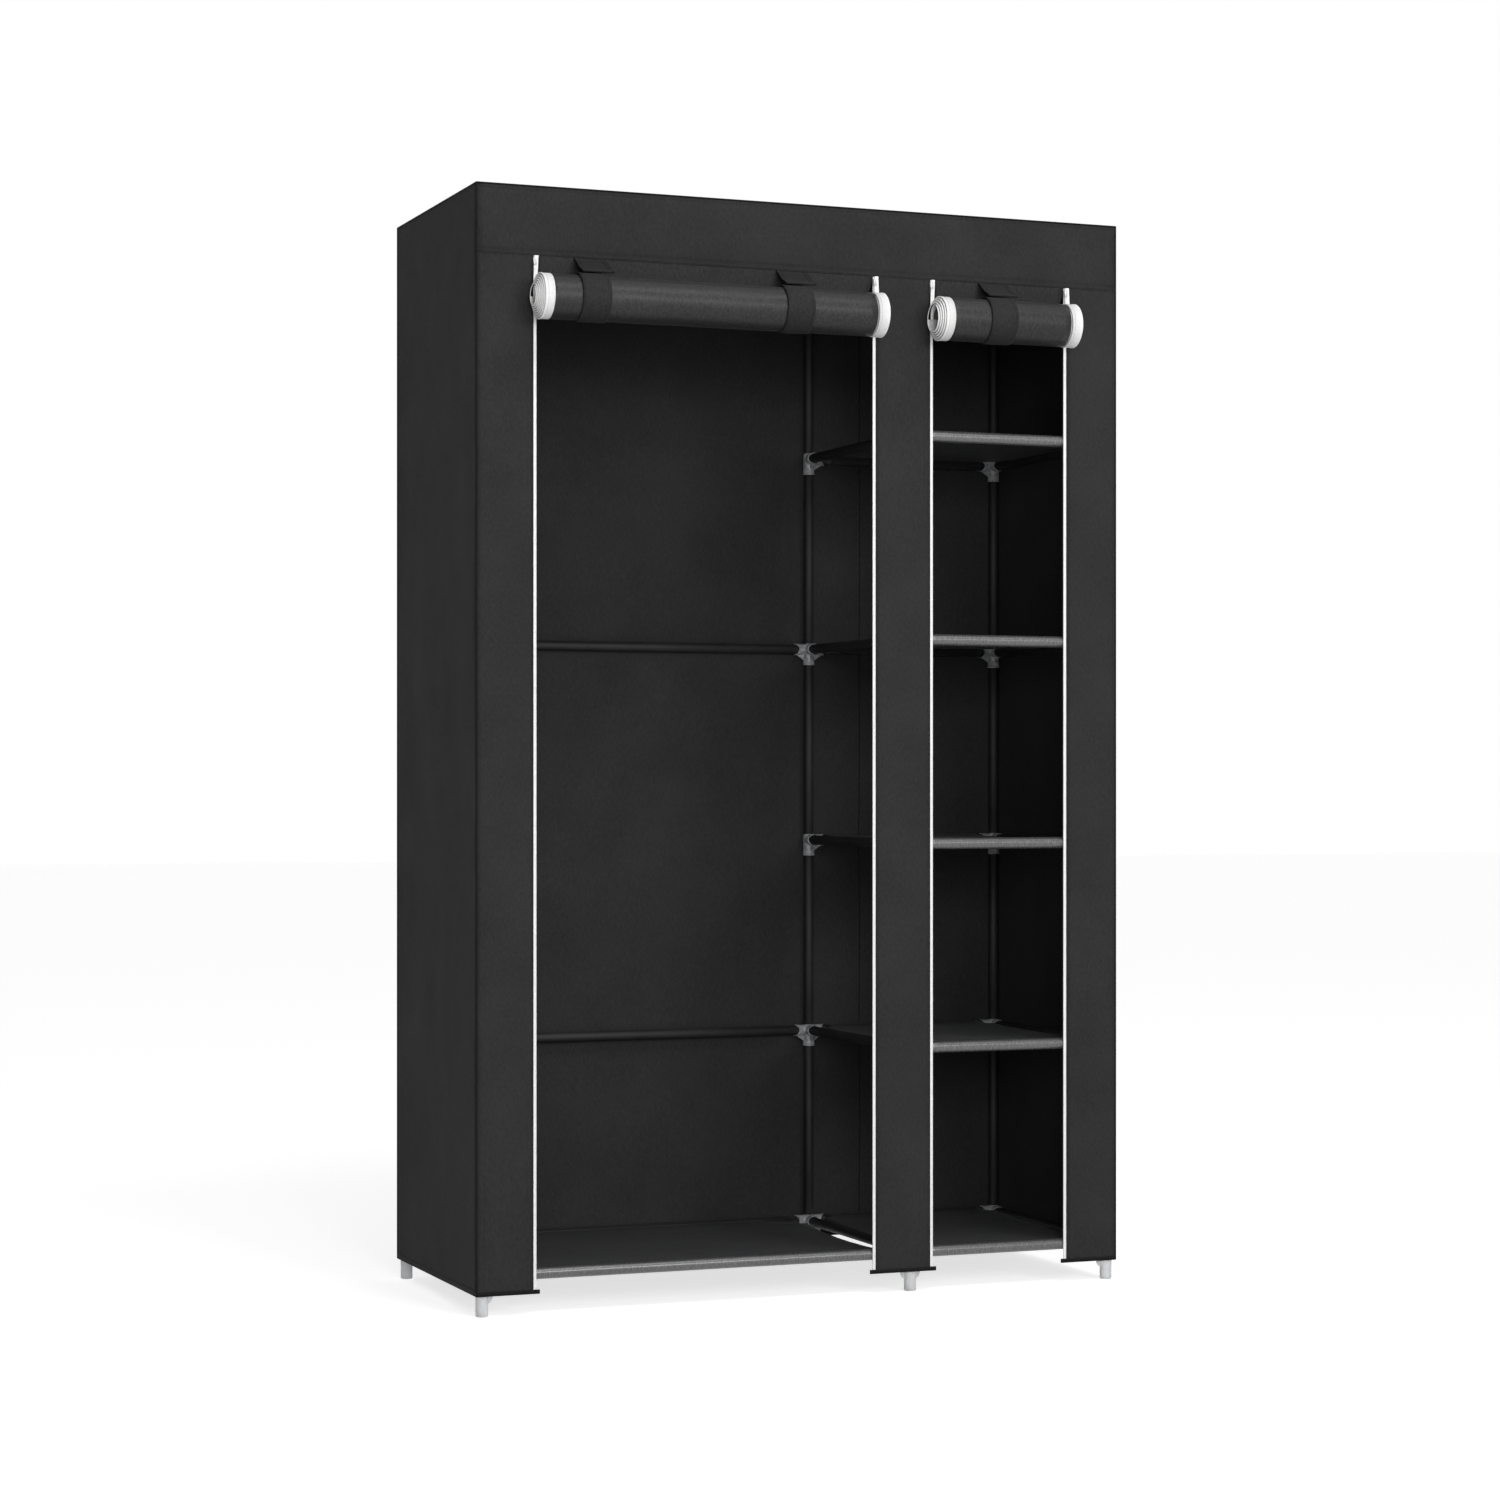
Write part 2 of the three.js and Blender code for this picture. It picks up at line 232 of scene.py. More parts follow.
def feed(tree, node, inputs):
    """Fills a node's inputs: sockets are linked, other values are set."""
    for name, value in inputs.items():
        if isinstance(value, bpy.types.NodeSocket):
            tree.links.new(value, node.inputs[name])
        else:
            node.inputs[name].default_value = value
    return node


def add_node(tree, kind, inputs=None, **options):
    return feed(tree, fill(tree.nodes.new(kind), **options), inputs or {})


def seen_or_mirrored(tree):
    """1 for rays from the camera, mirrors and see-through pieces, 0 for the rays that light the object."""
    path = add_node(tree, "ShaderNodeLightPath")
    value = path.outputs["Is Camera Ray"]
    for name in ("Is Glossy Ray", "Is Transmission Ray"):
        inputs = {0: value, 1: path.outputs[name]}
        value = add_node(tree, "ShaderNodeMath", inputs, operation="MAXIMUM").outputs[0]
    return value


def add_world():
    """Even studio light, with a plain white background."""
    world = bpy.data.worlds.new("studio")
    scene.world = world
    world.use_nodes = True
    tree = world.node_tree
    tree.nodes.clear()
    mix = add_node(tree, "ShaderNodeMixShader", {"Fac": seen_or_mirrored(tree)})
    for slot, strength in ((1, WORLD_LIGHT), (2, 1.0)):
        sky = add_node(tree, "ShaderNodeBackground", {"Color": (1, 1, 1, 1), "Strength": strength})
        feed(tree, mix, {slot: sky.outputs[0]})
    add_node(tree, "ShaderNodeOutputWorld", {"Surface": mix.outputs[0]})


def add_floor():
    """A pale floor that looks white, and keeps a light shadow."""
    bpy.ops.mesh.primitive_plane_add(size=FLOOR_SIZE, location=(0, 0, -0.5 * MM))
    floor = bpy.context.object
    floor.name = "floor"
    look = Look("pale_floor", (0.8, 0.8, 0.8), 0.9)
    paint = look.bsdf.outputs[0]
    glow = look.node("ShaderNodeEmission", {"Strength": FLOOR_GLOW}).outputs[0]
    lifted = look.node("ShaderNodeAddShader", {0: paint, 1: glow}).outputs[0]
    seen = look.node("ShaderNodeMixShader", {"Fac": seen_or_mirrored(look.tree), 1: paint, 2: lifted})
    feed(look.tree, look.tree.nodes["Material Output"], {"Surface": seen.outputs[0]})
    floor.data.materials.append(look.material)


# Materials

class Look:
    """A material under construction, with its tree and its shader at hand."""

    def __init__(self, name, color, roughness):
        self.material = bpy.data.materials.new(name)
        self.material.use_nodes = True
        self.tree = self.material.node_tree
        self.bsdf = self.tree.nodes["Principled BSDF"]
        self.shade({"Base Color": (*color, 1), "Roughness": roughness})
        self.place = self.node("ShaderNodeTexCoord").outputs["Object"]

    def shade(self, inputs):
        feed(self.tree, self.bsdf, inputs)

    def node(self, kind, inputs=None, **options):
        return add_node(self.tree, kind, inputs, **options)

    def noise(self, scale, detail, stretch=(1, 1, 1), turn=(0, 0, 0)):
        mapping = self.node("ShaderNodeMapping", {"Scale": stretch, "Rotation": turn, "Vector": self.place})
        inputs = {"Scale": scale, "Detail": detail, "Vector": mapping.outputs[0]}
        return self.node("ShaderNodeTexNoise", inputs).outputs["Fac"]

    def dots(self, scale):
        """Bond points pressed into non-woven cloth: small round cells."""
        inputs = {"Scale": scale, "Randomness": 0.25, "Vector": self.place}
        return self.node("ShaderNodeTexVoronoi", inputs).outputs["Distance"]

    def ramp(self, value, low, high, dark=0.0, light=1.0):
        inputs = {"From Min": low, "From Max": high, "To Min": dark, "To Max": light, "Value": value}
        return self.node("ShaderNodeMapRange", inputs).outputs[0]

    def blend_of(self, a, b, share):
        """A value between two others."""
        return self.node("ShaderNodeMix", {"Factor": share, "A": a, "B": b}).outputs["Result"]

    def vary_color(self, value, dark, light):
        inputs = {"A": (*dark, 1), "B": (*light, 1), "Factor": value}
        self.shade({"Base Color": self.node("ShaderNodeMix", inputs, data_type="RGBA").outputs["Result"]})

    def bump(self, height, distance, strength, under=None):
        """Relief on the surface, laid over another relief where one is given."""
        inputs = {"Distance": distance, "Strength": strength, "Height": height}
        if under is not None:
            inputs["Normal"] = under
        made = self.node("ShaderNodeBump", inputs).outputs[0]
        self.shade({"Normal": made})
        return made


def nonwoven(name, dark, light, roughness, gloss, sheen, mottle=0.5):
    """Spun-bonded cloth: clouded, faintly fibrous and mottled, dimpled by rows of bond points."""
    look = Look(name, light, roughness)
    cloud = look.noise(9, 4)
    fibre = look.noise(560, 3, (1, 1, 0.3), (0, pi / 4, 0))
    speck = look.noise(330, 2, (1, 1, 0.5), (0, -pi / 4, 0))
    both = look.blend_of(look.blend_of(cloud, fibre, 0.5), speck, mottle)
    look.vary_color(look.ramp(both, 0.36, 0.64), dark, light)
    spread = 0.08
    look.shade({"Roughness": look.ramp(fibre, 0.3, 0.7, roughness - spread, roughness + spread)})
    cells = look.bump(look.ramp(look.dots(700), 0.15, 0.6), 0.25 * MM, 0.35)
    fuzz = look.bump(fibre, 0.3 * MM, 0.3, cells)
    ripple = look.bump(look.noise(38, 3), 1.2 * MM, 0.22, fuzz)
    look.bump(look.noise(7, 4), 5 * MM, 0.16, ripple)
    look.shade({"Specular IOR Level": gloss, "Sheen Weight": sheen, "Sheen Roughness": 0.4,
                "Sheen Tint": (0.8, 0.82, 0.86, 1)})
    return look.material


def painted_steel():
    """Black powder coat, faintly clouded and grained."""
    look = Look("black_steel", (0.015, 0.015, 0.0158), 0.62)
    specks = look.noise(900, 2)
    clouds = look.ramp(look.noise(14, 3), 0.35, 0.65)
    look.vary_color(clouds, (0.012, 0.012, 0.0127), (0.019, 0.019, 0.02))
    look.shade({"Roughness": look.ramp(specks, 0.3, 0.7, 0.56, 0.68), "Specular IOR Level": 0.3})
    look.bump(specks, 0.08 * MM, 0.25)
    return look.material


def clouded_plastic(name, dark, light, see_through):
    """Translucent moulded plastic with flow clouds and fine scratches."""
    look = Look(name, light, 0.32)
    look.vary_color(look.ramp(look.noise(160, 3), 0.3, 0.7), dark, light)
    scratch = look.noise(420, 2, (1, 1, 0.12))
    look.shade({"Roughness": look.ramp(scratch, 0.3, 0.7, 0.24, 0.42), "IOR": 1.49,
                "Transmission Weight": see_through, "Subsurface Weight": 0.25,
                "Subsurface Radius": (0.004, 0.004, 0.004)})
    look.bump(scratch, 0.12 * MM, 0.3)
    return look.material


def woven_tape():
    """White zip tape with a fine twill."""
    look = Look("white_tape", (0.91, 0.91, 0.905), 0.75)
    wave = look.node("ShaderNodeTexWave", {"Scale": 420, "Distortion": 1.2, "Vector": look.place},
                     wave_type="BANDS", bands_direction="DIAGONAL")
    look.vary_color(look.ramp(look.noise(260, 3), 0.3, 0.7), (0.86, 0.86, 0.855), (0.95, 0.95, 0.945))
    look.bump(wave.outputs["Fac"], 0.12 * MM, 0.25)
    return look.material


def lacquered_metal():
    """White-lacquered zinc casting, a little orange-peeled."""
    look = Look("white_lacquer", (0.88, 0.88, 0.875), 0.35)
    grain = look.noise(700, 3)
    look.vary_color(look.ramp(grain, 0.3, 0.7), (0.84, 0.84, 0.835), (0.92, 0.92, 0.915))
    look.shade({"Roughness": look.ramp(grain, 0.3, 0.7, 0.24, 0.4)})
    look.bump(grain, 0.08 * MM, 0.25)
    return look.material


looks = {
    "cover": nonwoven("cover_cloth", (0.025, 0.025, 0.0254), (0.038, 0.038, 0.0387), 0.8, 0.05, 0.02, 0.35),
    "roll": nonwoven("door_cloth", (0.007, 0.007, 0.0072), (0.027, 0.027, 0.0275), 0.4, 0.27, 0.06, 0.7),
    # The strap's darker cloth, also put on the doors' drops as painted shade below the header
    "band": nonwoven("strap_cloth_and_drop_shade", (0.013, 0.013, 0.0132), (0.028, 0.028, 0.0285), 0.6, 0.12, 0.03, 0.6),
    "shelf": nonwoven("shelf_cloth", (0.01, 0.01, 0.0102), (0.028, 0.028, 0.0285), 0.42, 0.35, 0.05, 0.75),
    # The shelf cloth over the front rod, lighter grey: a painted highlight
    "sleeve": nonwoven("rod_sleeve_painted_highlight", (0.045, 0.045, 0.0455), (0.095, 0.095, 0.096), 0.24, 0.9, 0.05),
    # Near-black binding for piping, cords and seams; also painted shade between the coil's turns and under
    # the flaps' ends
    "binding": nonwoven("binding_and_painted_shade_cloth", (0.006, 0.006, 0.006), (0.011, 0.011, 0.011), 0.7, 0.1, 0.0),
    "tape_thread": nonwoven("pale_thread", (0.35, 0.35, 0.35), (0.45, 0.45, 0.45), 0.6, 0.2, 0.0),
    "thread": nonwoven("black_thread", (0.006, 0.006, 0.006), (0.012, 0.012, 0.012), 0.6, 0.2, 0.0),
    "tube": painted_steel(),
    "connector": clouded_plastic("grey_plastic", (0.27, 0.28, 0.29), (0.45, 0.46, 0.47), 0.15),
    "foot": clouded_plastic("pale_plastic", (0.78, 0.79, 0.8), (0.9, 0.91, 0.92), 0.35),
    "tape": woven_tape(),
    "slider": lacquered_metal(),
}


# Mesh tools

def new_mesh(name, points, faces):
    mesh = bpy.data.meshes.new(name)
    mesh.from_pydata([tuple(p) for p in points], [], faces)
    mesh.update()
    return mesh


def piece(name, points, faces, look, body="wardrobe", smooth=True):
    mesh = new_mesh(name, points, faces)
    mesh.materials.append(looks[look])
    if smooth:
        mesh.shade_smooth()
    made = placed(name, mesh)
    if body is not None:
        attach(made, body)
    return made


def face_outward(mesh):
    """Turns every face of a closed mesh to the outside."""
    shape = bmesh.new()
    shape.from_mesh(mesh)
    bmesh.ops.recalc_face_normals(shape, faces=shape.faces)
    shape.to_mesh(mesh)
    shape.free()


def thicken(made, thickness, offset=0.0):
    fill(made.modifiers.new("cloth", "SOLIDIFY"), thickness=thickness, offset=offset)


def second_look(made, look, n_v, strip):
    """Gives a strip of a grid's faces another look."""
    made.data.materials.append(looks[look])
    for i, face in enumerate(made.data.polygons):
        if i % n_v in strip:
            face.material_index = 1


def grid_faces(n_u, n_v, close_v=False):
    """Quads of a grid whose points run along v first."""
    faces = []
    for i in range(n_u - 1):
        for j in range(n_v if close_v else n_v - 1):
            k = (j + 1) % n_v
            faces.append((i * n_v + j, (i + 1) * n_v + j, (i + 1) * n_v + k, i * n_v + k))
    return faces


def shares(steps):
    """Even steps from 0 to 1."""
    return [i / steps for i in range(steps + 1)]


def clamp(value):
    """The value, kept from 0 to 1."""
    return max(0.0, min(1.0, value))


def bell(share, power=1.0):
    """0 at both ends, 1 in the middle."""
    return max(0.0, sin(pi * share)) ** power


def wrinkle(x, y, seed, size):
    """Smooth, repeatable noise from -1 to 1."""
    return noise.noise(Vector((x / size, y / size, seed)))


class Bag:
    """Collects many small closed shapes into one mesh."""

    def __init__(self, rings=None):
        self.points = []
        self.faces = []
        if rings:
            self.loft(rings)

    def add(self, points, faces):
        start = len(self.points)
        self.points.extend(points)
        self.faces.extend(tuple(start + i for i in f) for f in faces)

    def loft(self, rings):
        """Rings of points with equal counts, joined one after another, with a face at each end."""
        count = len(rings[0])
        faces = grid_faces(len(rings), count, True)
        faces.append(tuple(reversed(range(count))))
        faces.append(tuple(range((len(rings) - 1) * count, len(rings) * count)))
        self.add([p for ring in rings for p in ring], faces)

    def make(self, name, look, slot="cover_cloth", body="wardrobe", smooth=True):
        made = piece(name, self.points, self.faces, look, body, smooth)
        face_outward(made.data)
        return made


def ring(centre, direction, radius, sides):
    """Points on a circle square to a direction."""
    d = Vector(direction).normalized()
    helper = UP if abs(d.z) < 0.9 else Vector((1, 0, 0))
    a = d.cross(helper).normalized()
    b = a.cross(d).normalized()
    angles = [2 * pi * i / sides for i in range(sides)]
    return [Vector(centre) + radius * (cos(t) * a + sin(t) * b) for t in angles]


def rectangle(x_a, x_b, y_a, y_b, z):
    """The corners of a rectangle at one height."""
    return [Vector((x_a, y_a, z)), Vector((x_b, y_a, z)), Vector((x_b, y_b, z)), Vector((x_a, y_b, z))]


def line(a, b, steps):
    a, b = Vector(a), Vector(b)
    return [a.lerp(b, share) for share in shares(steps)]


def add_tube(bag, start, end, radius=TUBE_RADIUS, wall=TUBE_WALL):
    """A hollow tube with softened rims, closed on itself through its bore."""
    start, end = Vector(start), Vector(end)
    d = (end - start).normalized()
    rims = [(start, 0, radius - wall), (start, 0, radius - TUBE_RIM), (start, TUBE_RIM, radius),
            (end, -TUBE_RIM, radius), (end, 0, radius - TUBE_RIM), (end, 0, radius - wall)]
    rings = [ring(base + along * d, d, r, TUBE_SIDES) for base, along, r in rims]
    count = TUBE_SIDES
    faces = grid_faces(len(rings), count, True)
    last = (len(rings) - 1) * count
    faces.extend((last + j, j, (j + 1) % count, last + (j + 1) % count) for j in range(count))
    bag.add([p for r in rings for p in r], faces)


def steel_tube(name, *runs):
    """A piece of one or more steel tubes, each running from one point to another."""
    bag = Bag()
    for start, end in runs:
        add_tube(bag, start, end)
    return bag.make(name, "tube", "steel_tube")


def add_piping(bag, path, radius=PIPING_RADIUS):
    """A covered cord sewn along an edge."""
    ahead = [Vector(b) - Vector(a) for a, b in zip(path[:1] + path[:-1], path[1:] + path[-1:])]
    bag.loft([ring(p, direction, radius, PIPING_SIDES) for p, direction in zip(path, ahead)])


def add_stitches(bag, path, normal, spacing=STITCH_SPACING, length=STITCH_LENGTH, width=STITCH_WIDTH):
    """Lockstitches along a path: a small rounded bar for each."""
    normal = Vector(normal).normalized()
    rise = normal * STITCH_HEIGHT
    faces = [(0, 1, 6), (1, 2, 7, 6), (2, 3, 7), (3, 4, 7), (4, 5, 6, 7), (5, 0, 6), (5, 4, 3, 2, 1, 0)]
    for a, b in zip(path, path[1:]):
        a, b = Vector(a), Vector(b)
        count = max(1, round((b - a).length / spacing))
        d = (b - a).normalized()
        half, wide = d * length / 2, d.cross(normal).normalized() * width / 2
        for i in range(count):
            middle = a.lerp(b, (i + 0.5) / count)
            base = [middle - half, middle + wide - half * 0.4, middle + wide + half * 0.4,
                    middle + half, middle - wide + half * 0.4, middle - wide - half * 0.4]
            crown = [middle - half * 0.6 + rise, middle + half * 0.6 + rise]
            bag.add(base + crown, faces)


# Frame

def add_frame_tubes():
    """Round steel tubes: uprights in lengths between their connectors, depth tubes and rails."""
    for row, y in rows.items():
        for column, x in columns.items():
            stops = [levels[k] for k in levels_of[column]]
            runs = [((x, y, low + TUBE_GAP), (x, y, high - TUBE_GAP)) for low, high in zip(stops, stops[1:])]
            made = steel_tube(f"tube_upright_{row}_{column}", *runs)
            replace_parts(made, f"upright_{row}_{column}")
    for column, x in columns.items():
        for k in levels_of[column]:
            z = levels[k]
            run = ((x, rows["front"] + ROD_END, z), (x, rows["rear"] - ROD_END, z))
            made = steel_tube(f"tube_depth_{column}_{k}", run)
            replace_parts(made, f"depth_rail_{column}_{k}")
    rails = [f"back_rail_{k}" for k in rail_levels] + ["hanging_rail"]
    rails += [f"top_rail_{r}_{s}" for r in rows for s in ("left", "right")]
    for node in rails:
        low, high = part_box(node)
        middle = middle_of(node)
        run = ((low.x, middle.y, middle.z), (high.x, middle.y, middle.z))
        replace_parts(steel_tube("tube_" + node, run), node)


# Connectors, each moulded in one: made once for every set of arms, then placed

def settle(base):
    """Puts what an object's modifiers make into its mesh."""
    mesh = bpy.data.meshes.new_from_object(base.evaluated_get(bpy.context.evaluated_depsgraph_get()))
    base.modifiers.clear()
    base.data = mesh


def combine(base, tools, operation):
    """Joins meshes to a base, or cuts them from it, and uses them up."""
    for tool in tools:
        fill(base.modifiers.new("combine", "BOOLEAN"), object=tool, operation=operation, solver="EXACT")
    settle(base)
    for tool in tools:
        bpy.data.objects.remove(tool)


def scratch(rings):
    """A closed shape through rings of points, to be joined or cut."""
    bag = Bag(rings)
    mesh = new_mesh("scratch", bag.points, bag.faces)
    face_outward(mesh)
    return placed("scratch", mesh)


def turned(profile):
    """A closed shape turned about the z axis, from heights and radii."""
    return scratch([ring((0, 0, z), UP, radius, SOCKET_SIDES) for z, radius in profile])


def socket_arm(direction):
    """An arm whose mouth is cut like a fish's: its upper and lower lips reach further than its sides."""
    d = Vector(direction)
    side = d.cross(UP)
    rings = []
    for share, girth in ((0.0, 0.94), (0.55, 0.94), (0.72, 0.97), (0.98, 1.0), (1.0, 0.96)):
        points = []
        for i in range(SOCKET_SIDES):
            t = 2 * pi * i / SOCKET_SIDES
            notch = MOUTH_NOTCH * abs(sin(t)) ** 1.6 * clamp((share - 0.5) * 2)
            reach = ARM_REACH * share - notch - MOUTH_LIP * max(0.0, cos(t)) * share
            points.append(d * reach + (UP * cos(t) + side * sin(t)) * ARM_RADIUS * girth)
        rings.append(points)
    return scratch(rings)


def socket_bore(direction):
    """The hole along an arm, a little wider at its mouth."""
    d = Vector(direction)
    stops = [(SLEEVE_RADIUS - 1 * MM, BORE_RADIUS), (ARM_REACH - 9 * MM, BORE_RADIUS),
             (ARM_REACH + 4 * MM, BORE_RADIUS + 0.9 * MM)]
    return scratch([ring(d * along, d, radius, SOCKET_SIDES) for along, radius in stops])


def arm_web(direction, is_foot):
    """A thin curved web under an arm, down to the sleeve or, at the bottom, to the foot."""
    d = Vector(direction)
    half = d.cross(UP) * 1.2 * MM
    inner, outer = 7 * MM, ARM_REACH - 3.5 * MM
    high = -ARM_RADIUS + 1.2 * MM
    low = FOOT_WEB[0][1] if is_foot else WEB_LOW
    if is_foot:
        curve = [(FOOT_RADIUS + out, z) for out, z in FOOT_WEB]
    else:
        curve = [(FOOT_RADIUS + (outer - FOOT_RADIUS) * share ** 1.1,
                  low + (high - low) * (1 - (1 - share) ** 1.15)) for share in (i / 8 for i in range(1, 8))]
    edge = [(inner, high + 2 * MM), (inner, low), *curve, (outer, high), (outer - 2 * MM, high + 2 * MM)]
    return scratch([[d * a + UP * b + half * s for a, b in edge] for s in (-1, 1)])


def connector_mesh(directions, kind):
    """Sleeve, arms and webs in one body, bored for its tubes, with softened edges."""
    is_foot = kind == "foot"
    sole = -levels[0]
    neck = SLEEVE_RADIUS - 0.5 * MM
    if is_foot:
        lower = [(sole, FOOT_RADIUS - 1.2 * MM), (sole + 1.5 * MM, FOOT_RADIUS - 0.1 * MM),
                 (-SLEEVE_DROP - 14 * MM, FOOT_RADIUS), (-SLEEVE_DROP, SLEEVE_RADIUS - 0.4 * MM)]
    else:
        lower = [(-SLEEVE_DROP, SLEEVE_RADIUS), (-SLEEVE_DROP + 2 * MM, SLEEVE_RADIUS),
                 (-SLEEVE_DROP + 2.8 * MM, neck)]
    base = turned(lower + [(ARM_RADIUS - 2.5 * MM, neck), (ARM_RADIUS, SLEEVE_RADIUS - 2.2 * MM)])
    combine(base, [socket_arm(d) for d in directions] + [arm_web(d, is_foot) for d in directions], "UNION")
    start = sole + 30 * MM if is_foot else -SLEEVE_DROP - 2 * MM
    end = ARM_RADIUS - 2 * MM if kind == "top" else ARM_RADIUS + 2 * MM
    bore = turned([(start, BORE_RADIUS), (end, BORE_RADIUS)])
    combine(base, [bore] + [socket_bore(d) for d in directions], "DIFFERENCE")
    soft = base.modifiers.new("soft", "BEVEL")
    fill(soft, width=0.45 * MM, segments=2, limit_method="ANGLE", angle_limit=radians(38))
    settle(base)
    mesh = base.data
    bpy.data.objects.remove(base)
    mesh.shade_smooth()
    mesh.set_sharp_from_angle(angle=radians(42))
    mesh.materials.clear()
    mesh.materials.append(looks["connector"])
    if is_foot:
        mesh.materials.append(looks["foot"])
        for face in mesh.polygons:
            face.material_index = int(face.center.z < FOOT_TOP)
    return mesh


def add_connectors():
    """One at each end of each depth tube, with an arm for every tube that ends there."""
    meshes = {}
    for column, x in columns.items():
        for k in levels_of[column]:
            for row, y in rows.items():
                has_rail = k in (0, "top") or (row == "rear" and k in rail_levels)
                rail = [1] if has_rail else []
                sideways = {"left": rail, "middle": [-s for s in rail] + [1], "right": [-1]}[column]
                directions = [(0, 1 if row == "front" else -1, 0)] + [(s, 0, 0) for s in sideways]
                kind = {0: "foot", "top": "top"}.get(k, "plain")
                key = (tuple(directions), kind)
                if key not in meshes:
                    meshes[key] = connector_mesh(directions, kind)
                made = placed(f"connector_{row}_{column}_{k}", meshes[key])
                made.location = (x, y, levels[k])
                bpy.context.view_layer.update()
                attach(made, "wardrobe")


def add_rail_clips():
    """The hanging rail's two hooks: sleeves round a depth tube and the rail's end, joined by a neck."""
    wall = ARM_RADIUS - TUBE_RADIUS - 0.3 * MM
    rail_z = middle_of("hanging_rail").z
    tube_z = levels["top"]
    wide, thick, into = 6 * MM, 3 * MM, 8.6 * MM
    for side, column, way in (("left", "left", 1), ("right", "middle", -1)):
        node = f"hanging_rail_clip_{side}"
        low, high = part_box(node)
        x = columns[column]
        y, half = (low.y + high.y) / 2, (high.y - low.y) / 2
        bag = Bag()
        add_tube(bag, (x, y - half, tube_z), (x, y + half, tube_z), ARM_RADIUS, wall)
        add_tube(bag, (x, y, rail_z), (high.x if way > 0 else low.x, y, rail_z), ARM_RADIUS, wall)
        neck = [(x - wide, tube_z - into), (x + wide, tube_z - into), (x + wide, rail_z + into),
                (x - wide, rail_z + into)]
        bag.loft([[Vector((a, y + out, b)) for a, b in neck] for out in (-thick, thick)])
        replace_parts(bag.make(f"rail_clip_{side}", "connector", "connector"), node)


# Shelves

def shelf_profile(z, sag, side_gap):
    """The cloth's path from front to rear: turned in under the front rod, over the top, under the rear rod.

    Each point is y, height, how far it may sag, and how far its side edges lie from the uprights' middles.
    """
    narrow, wide = ARM_REACH + 0.3 * MM, TUBE_RADIUS + side_gap
    front_rod, rear_rod = rows["front"], rows["rear"]
    high = z + WRAPPED_RADIUS

    def sleeve(rod, first):
        angles = [radians(first - SLEEVE_ANGLE * share) for share in shares(SLEEVE_STEPS - 1)]
        return [(rod + WRAPPED_RADIUS * cos(t), z + WRAPPED_RADIUS * sin(t), 0.0, narrow)
                for t in angles]

    notch = (ARM_REACH + 2 * MM) / (rear_rod - front_rod)
    stops = [0.02, 0.045, notch, notch + 0.004]
    stops += [0.1 + 0.8 * share for share in shares(22)]
    stops += [1 - share for share in reversed(stops[:4])]
    path = [(front_rod + SHELF_HEM, high - 3.4 * MM, 0.0, narrow),
            (front_rod + SHELF_HEM * 0.7, high - 4.4 * MM, 0.0, narrow)]
    path += sleeve(front_rod, -35)
    for share in stops:
        y = front_rod + (rear_rod - front_rod) * share
        path.append((y, high, sag * bell(share, 0.5), wide if notch < share < 1 - notch else narrow))
    path += sleeve(rear_rod, 90)
    path.append((rear_rod - SHELF_HEM * 0.7, high - 4.4 * MM, 0.0, narrow))
    path.append((rear_rod - SHELF_HEM, high - 3.4 * MM, 0.0, narrow))
    return path


def add_shelf(node, column_a, column_b, z, sag, side_gap, seed, droop=0.0):
    """One shelf: cloth with a sleeve round each rod, sagging between them and most at its free sides."""
    path = shelf_profile(z, sag, side_gap)
    x_a, x_b = columns[column_a], columns[column_b]
    span = x_b - x_a
    n_u = max(24, round(span / (14 * MM)))
    points = []
    for u in shares(n_u):
        for y, flat_z, drop, edge in path:
            x = x_a + edge + (span - 2 * edge) * u
            ripple = 0.5 * MM * wrinkle(x, y, seed, 0.05) + 0.9 * MM * wrinkle(x, y, seed + 7, 0.16)
            free_side = droop * min(1.0, drop * 1.6 / sag) * max(0.0, 2 * abs(u - 0.5) - 0.8) * 5
            sagged = flat_z - drop * (0.82 + 0.18 * bell(u)) - free_side
            points.append((x, y, sagged + (ripple if drop else 0.15 * ripple)))
    made = piece(f"cloth_{node}", points, grid_faces(n_u + 1, len(path)), "shelf")
    # The front sleeve takes the lighter grey: a painted highlight on the shelf cloth
    second_look(made, "sleeve", len(path) - 1, range(3, SLEEVE_STEPS))
    thicken(made, CLOTH * 0.9)
    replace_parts(made, node)
    stitches = Bag()
    reach = ARM_REACH + 4 * MM
    high = z + WRAPPED_RADIUS
    for y in (rows["front"] + 13 * MM, rows["rear"] - 13 * MM):
        add_stitches(stitches, [(x_a + reach, y, high), (x_b - reach, y, high)], UP)
    stitches.make(f"stitches_{node}", "thread", "shelf_cloth", smooth=False)
    for row, y in rows.items():
        steel_tube(f"rod_{row}_{node}", ((x_a + ROD_END, y, z), (x_b - ROD_END, y, z)))


def add_shelves():
    add_shelf("shelf_left_0", "left", "middle", levels[0], WIDE_SAG, WIDE_SIDE_GAP, 3, EDGE_DROOP)
    for k in range(5):
        add_shelf(f"shelf_right_{k}", "middle", "right", levels[k], NARROW_SAG, SHELF_SIDE_GAP, 11 + k)


# Cover walls; a bulge is given a point's shares of both edges, and its distances along them

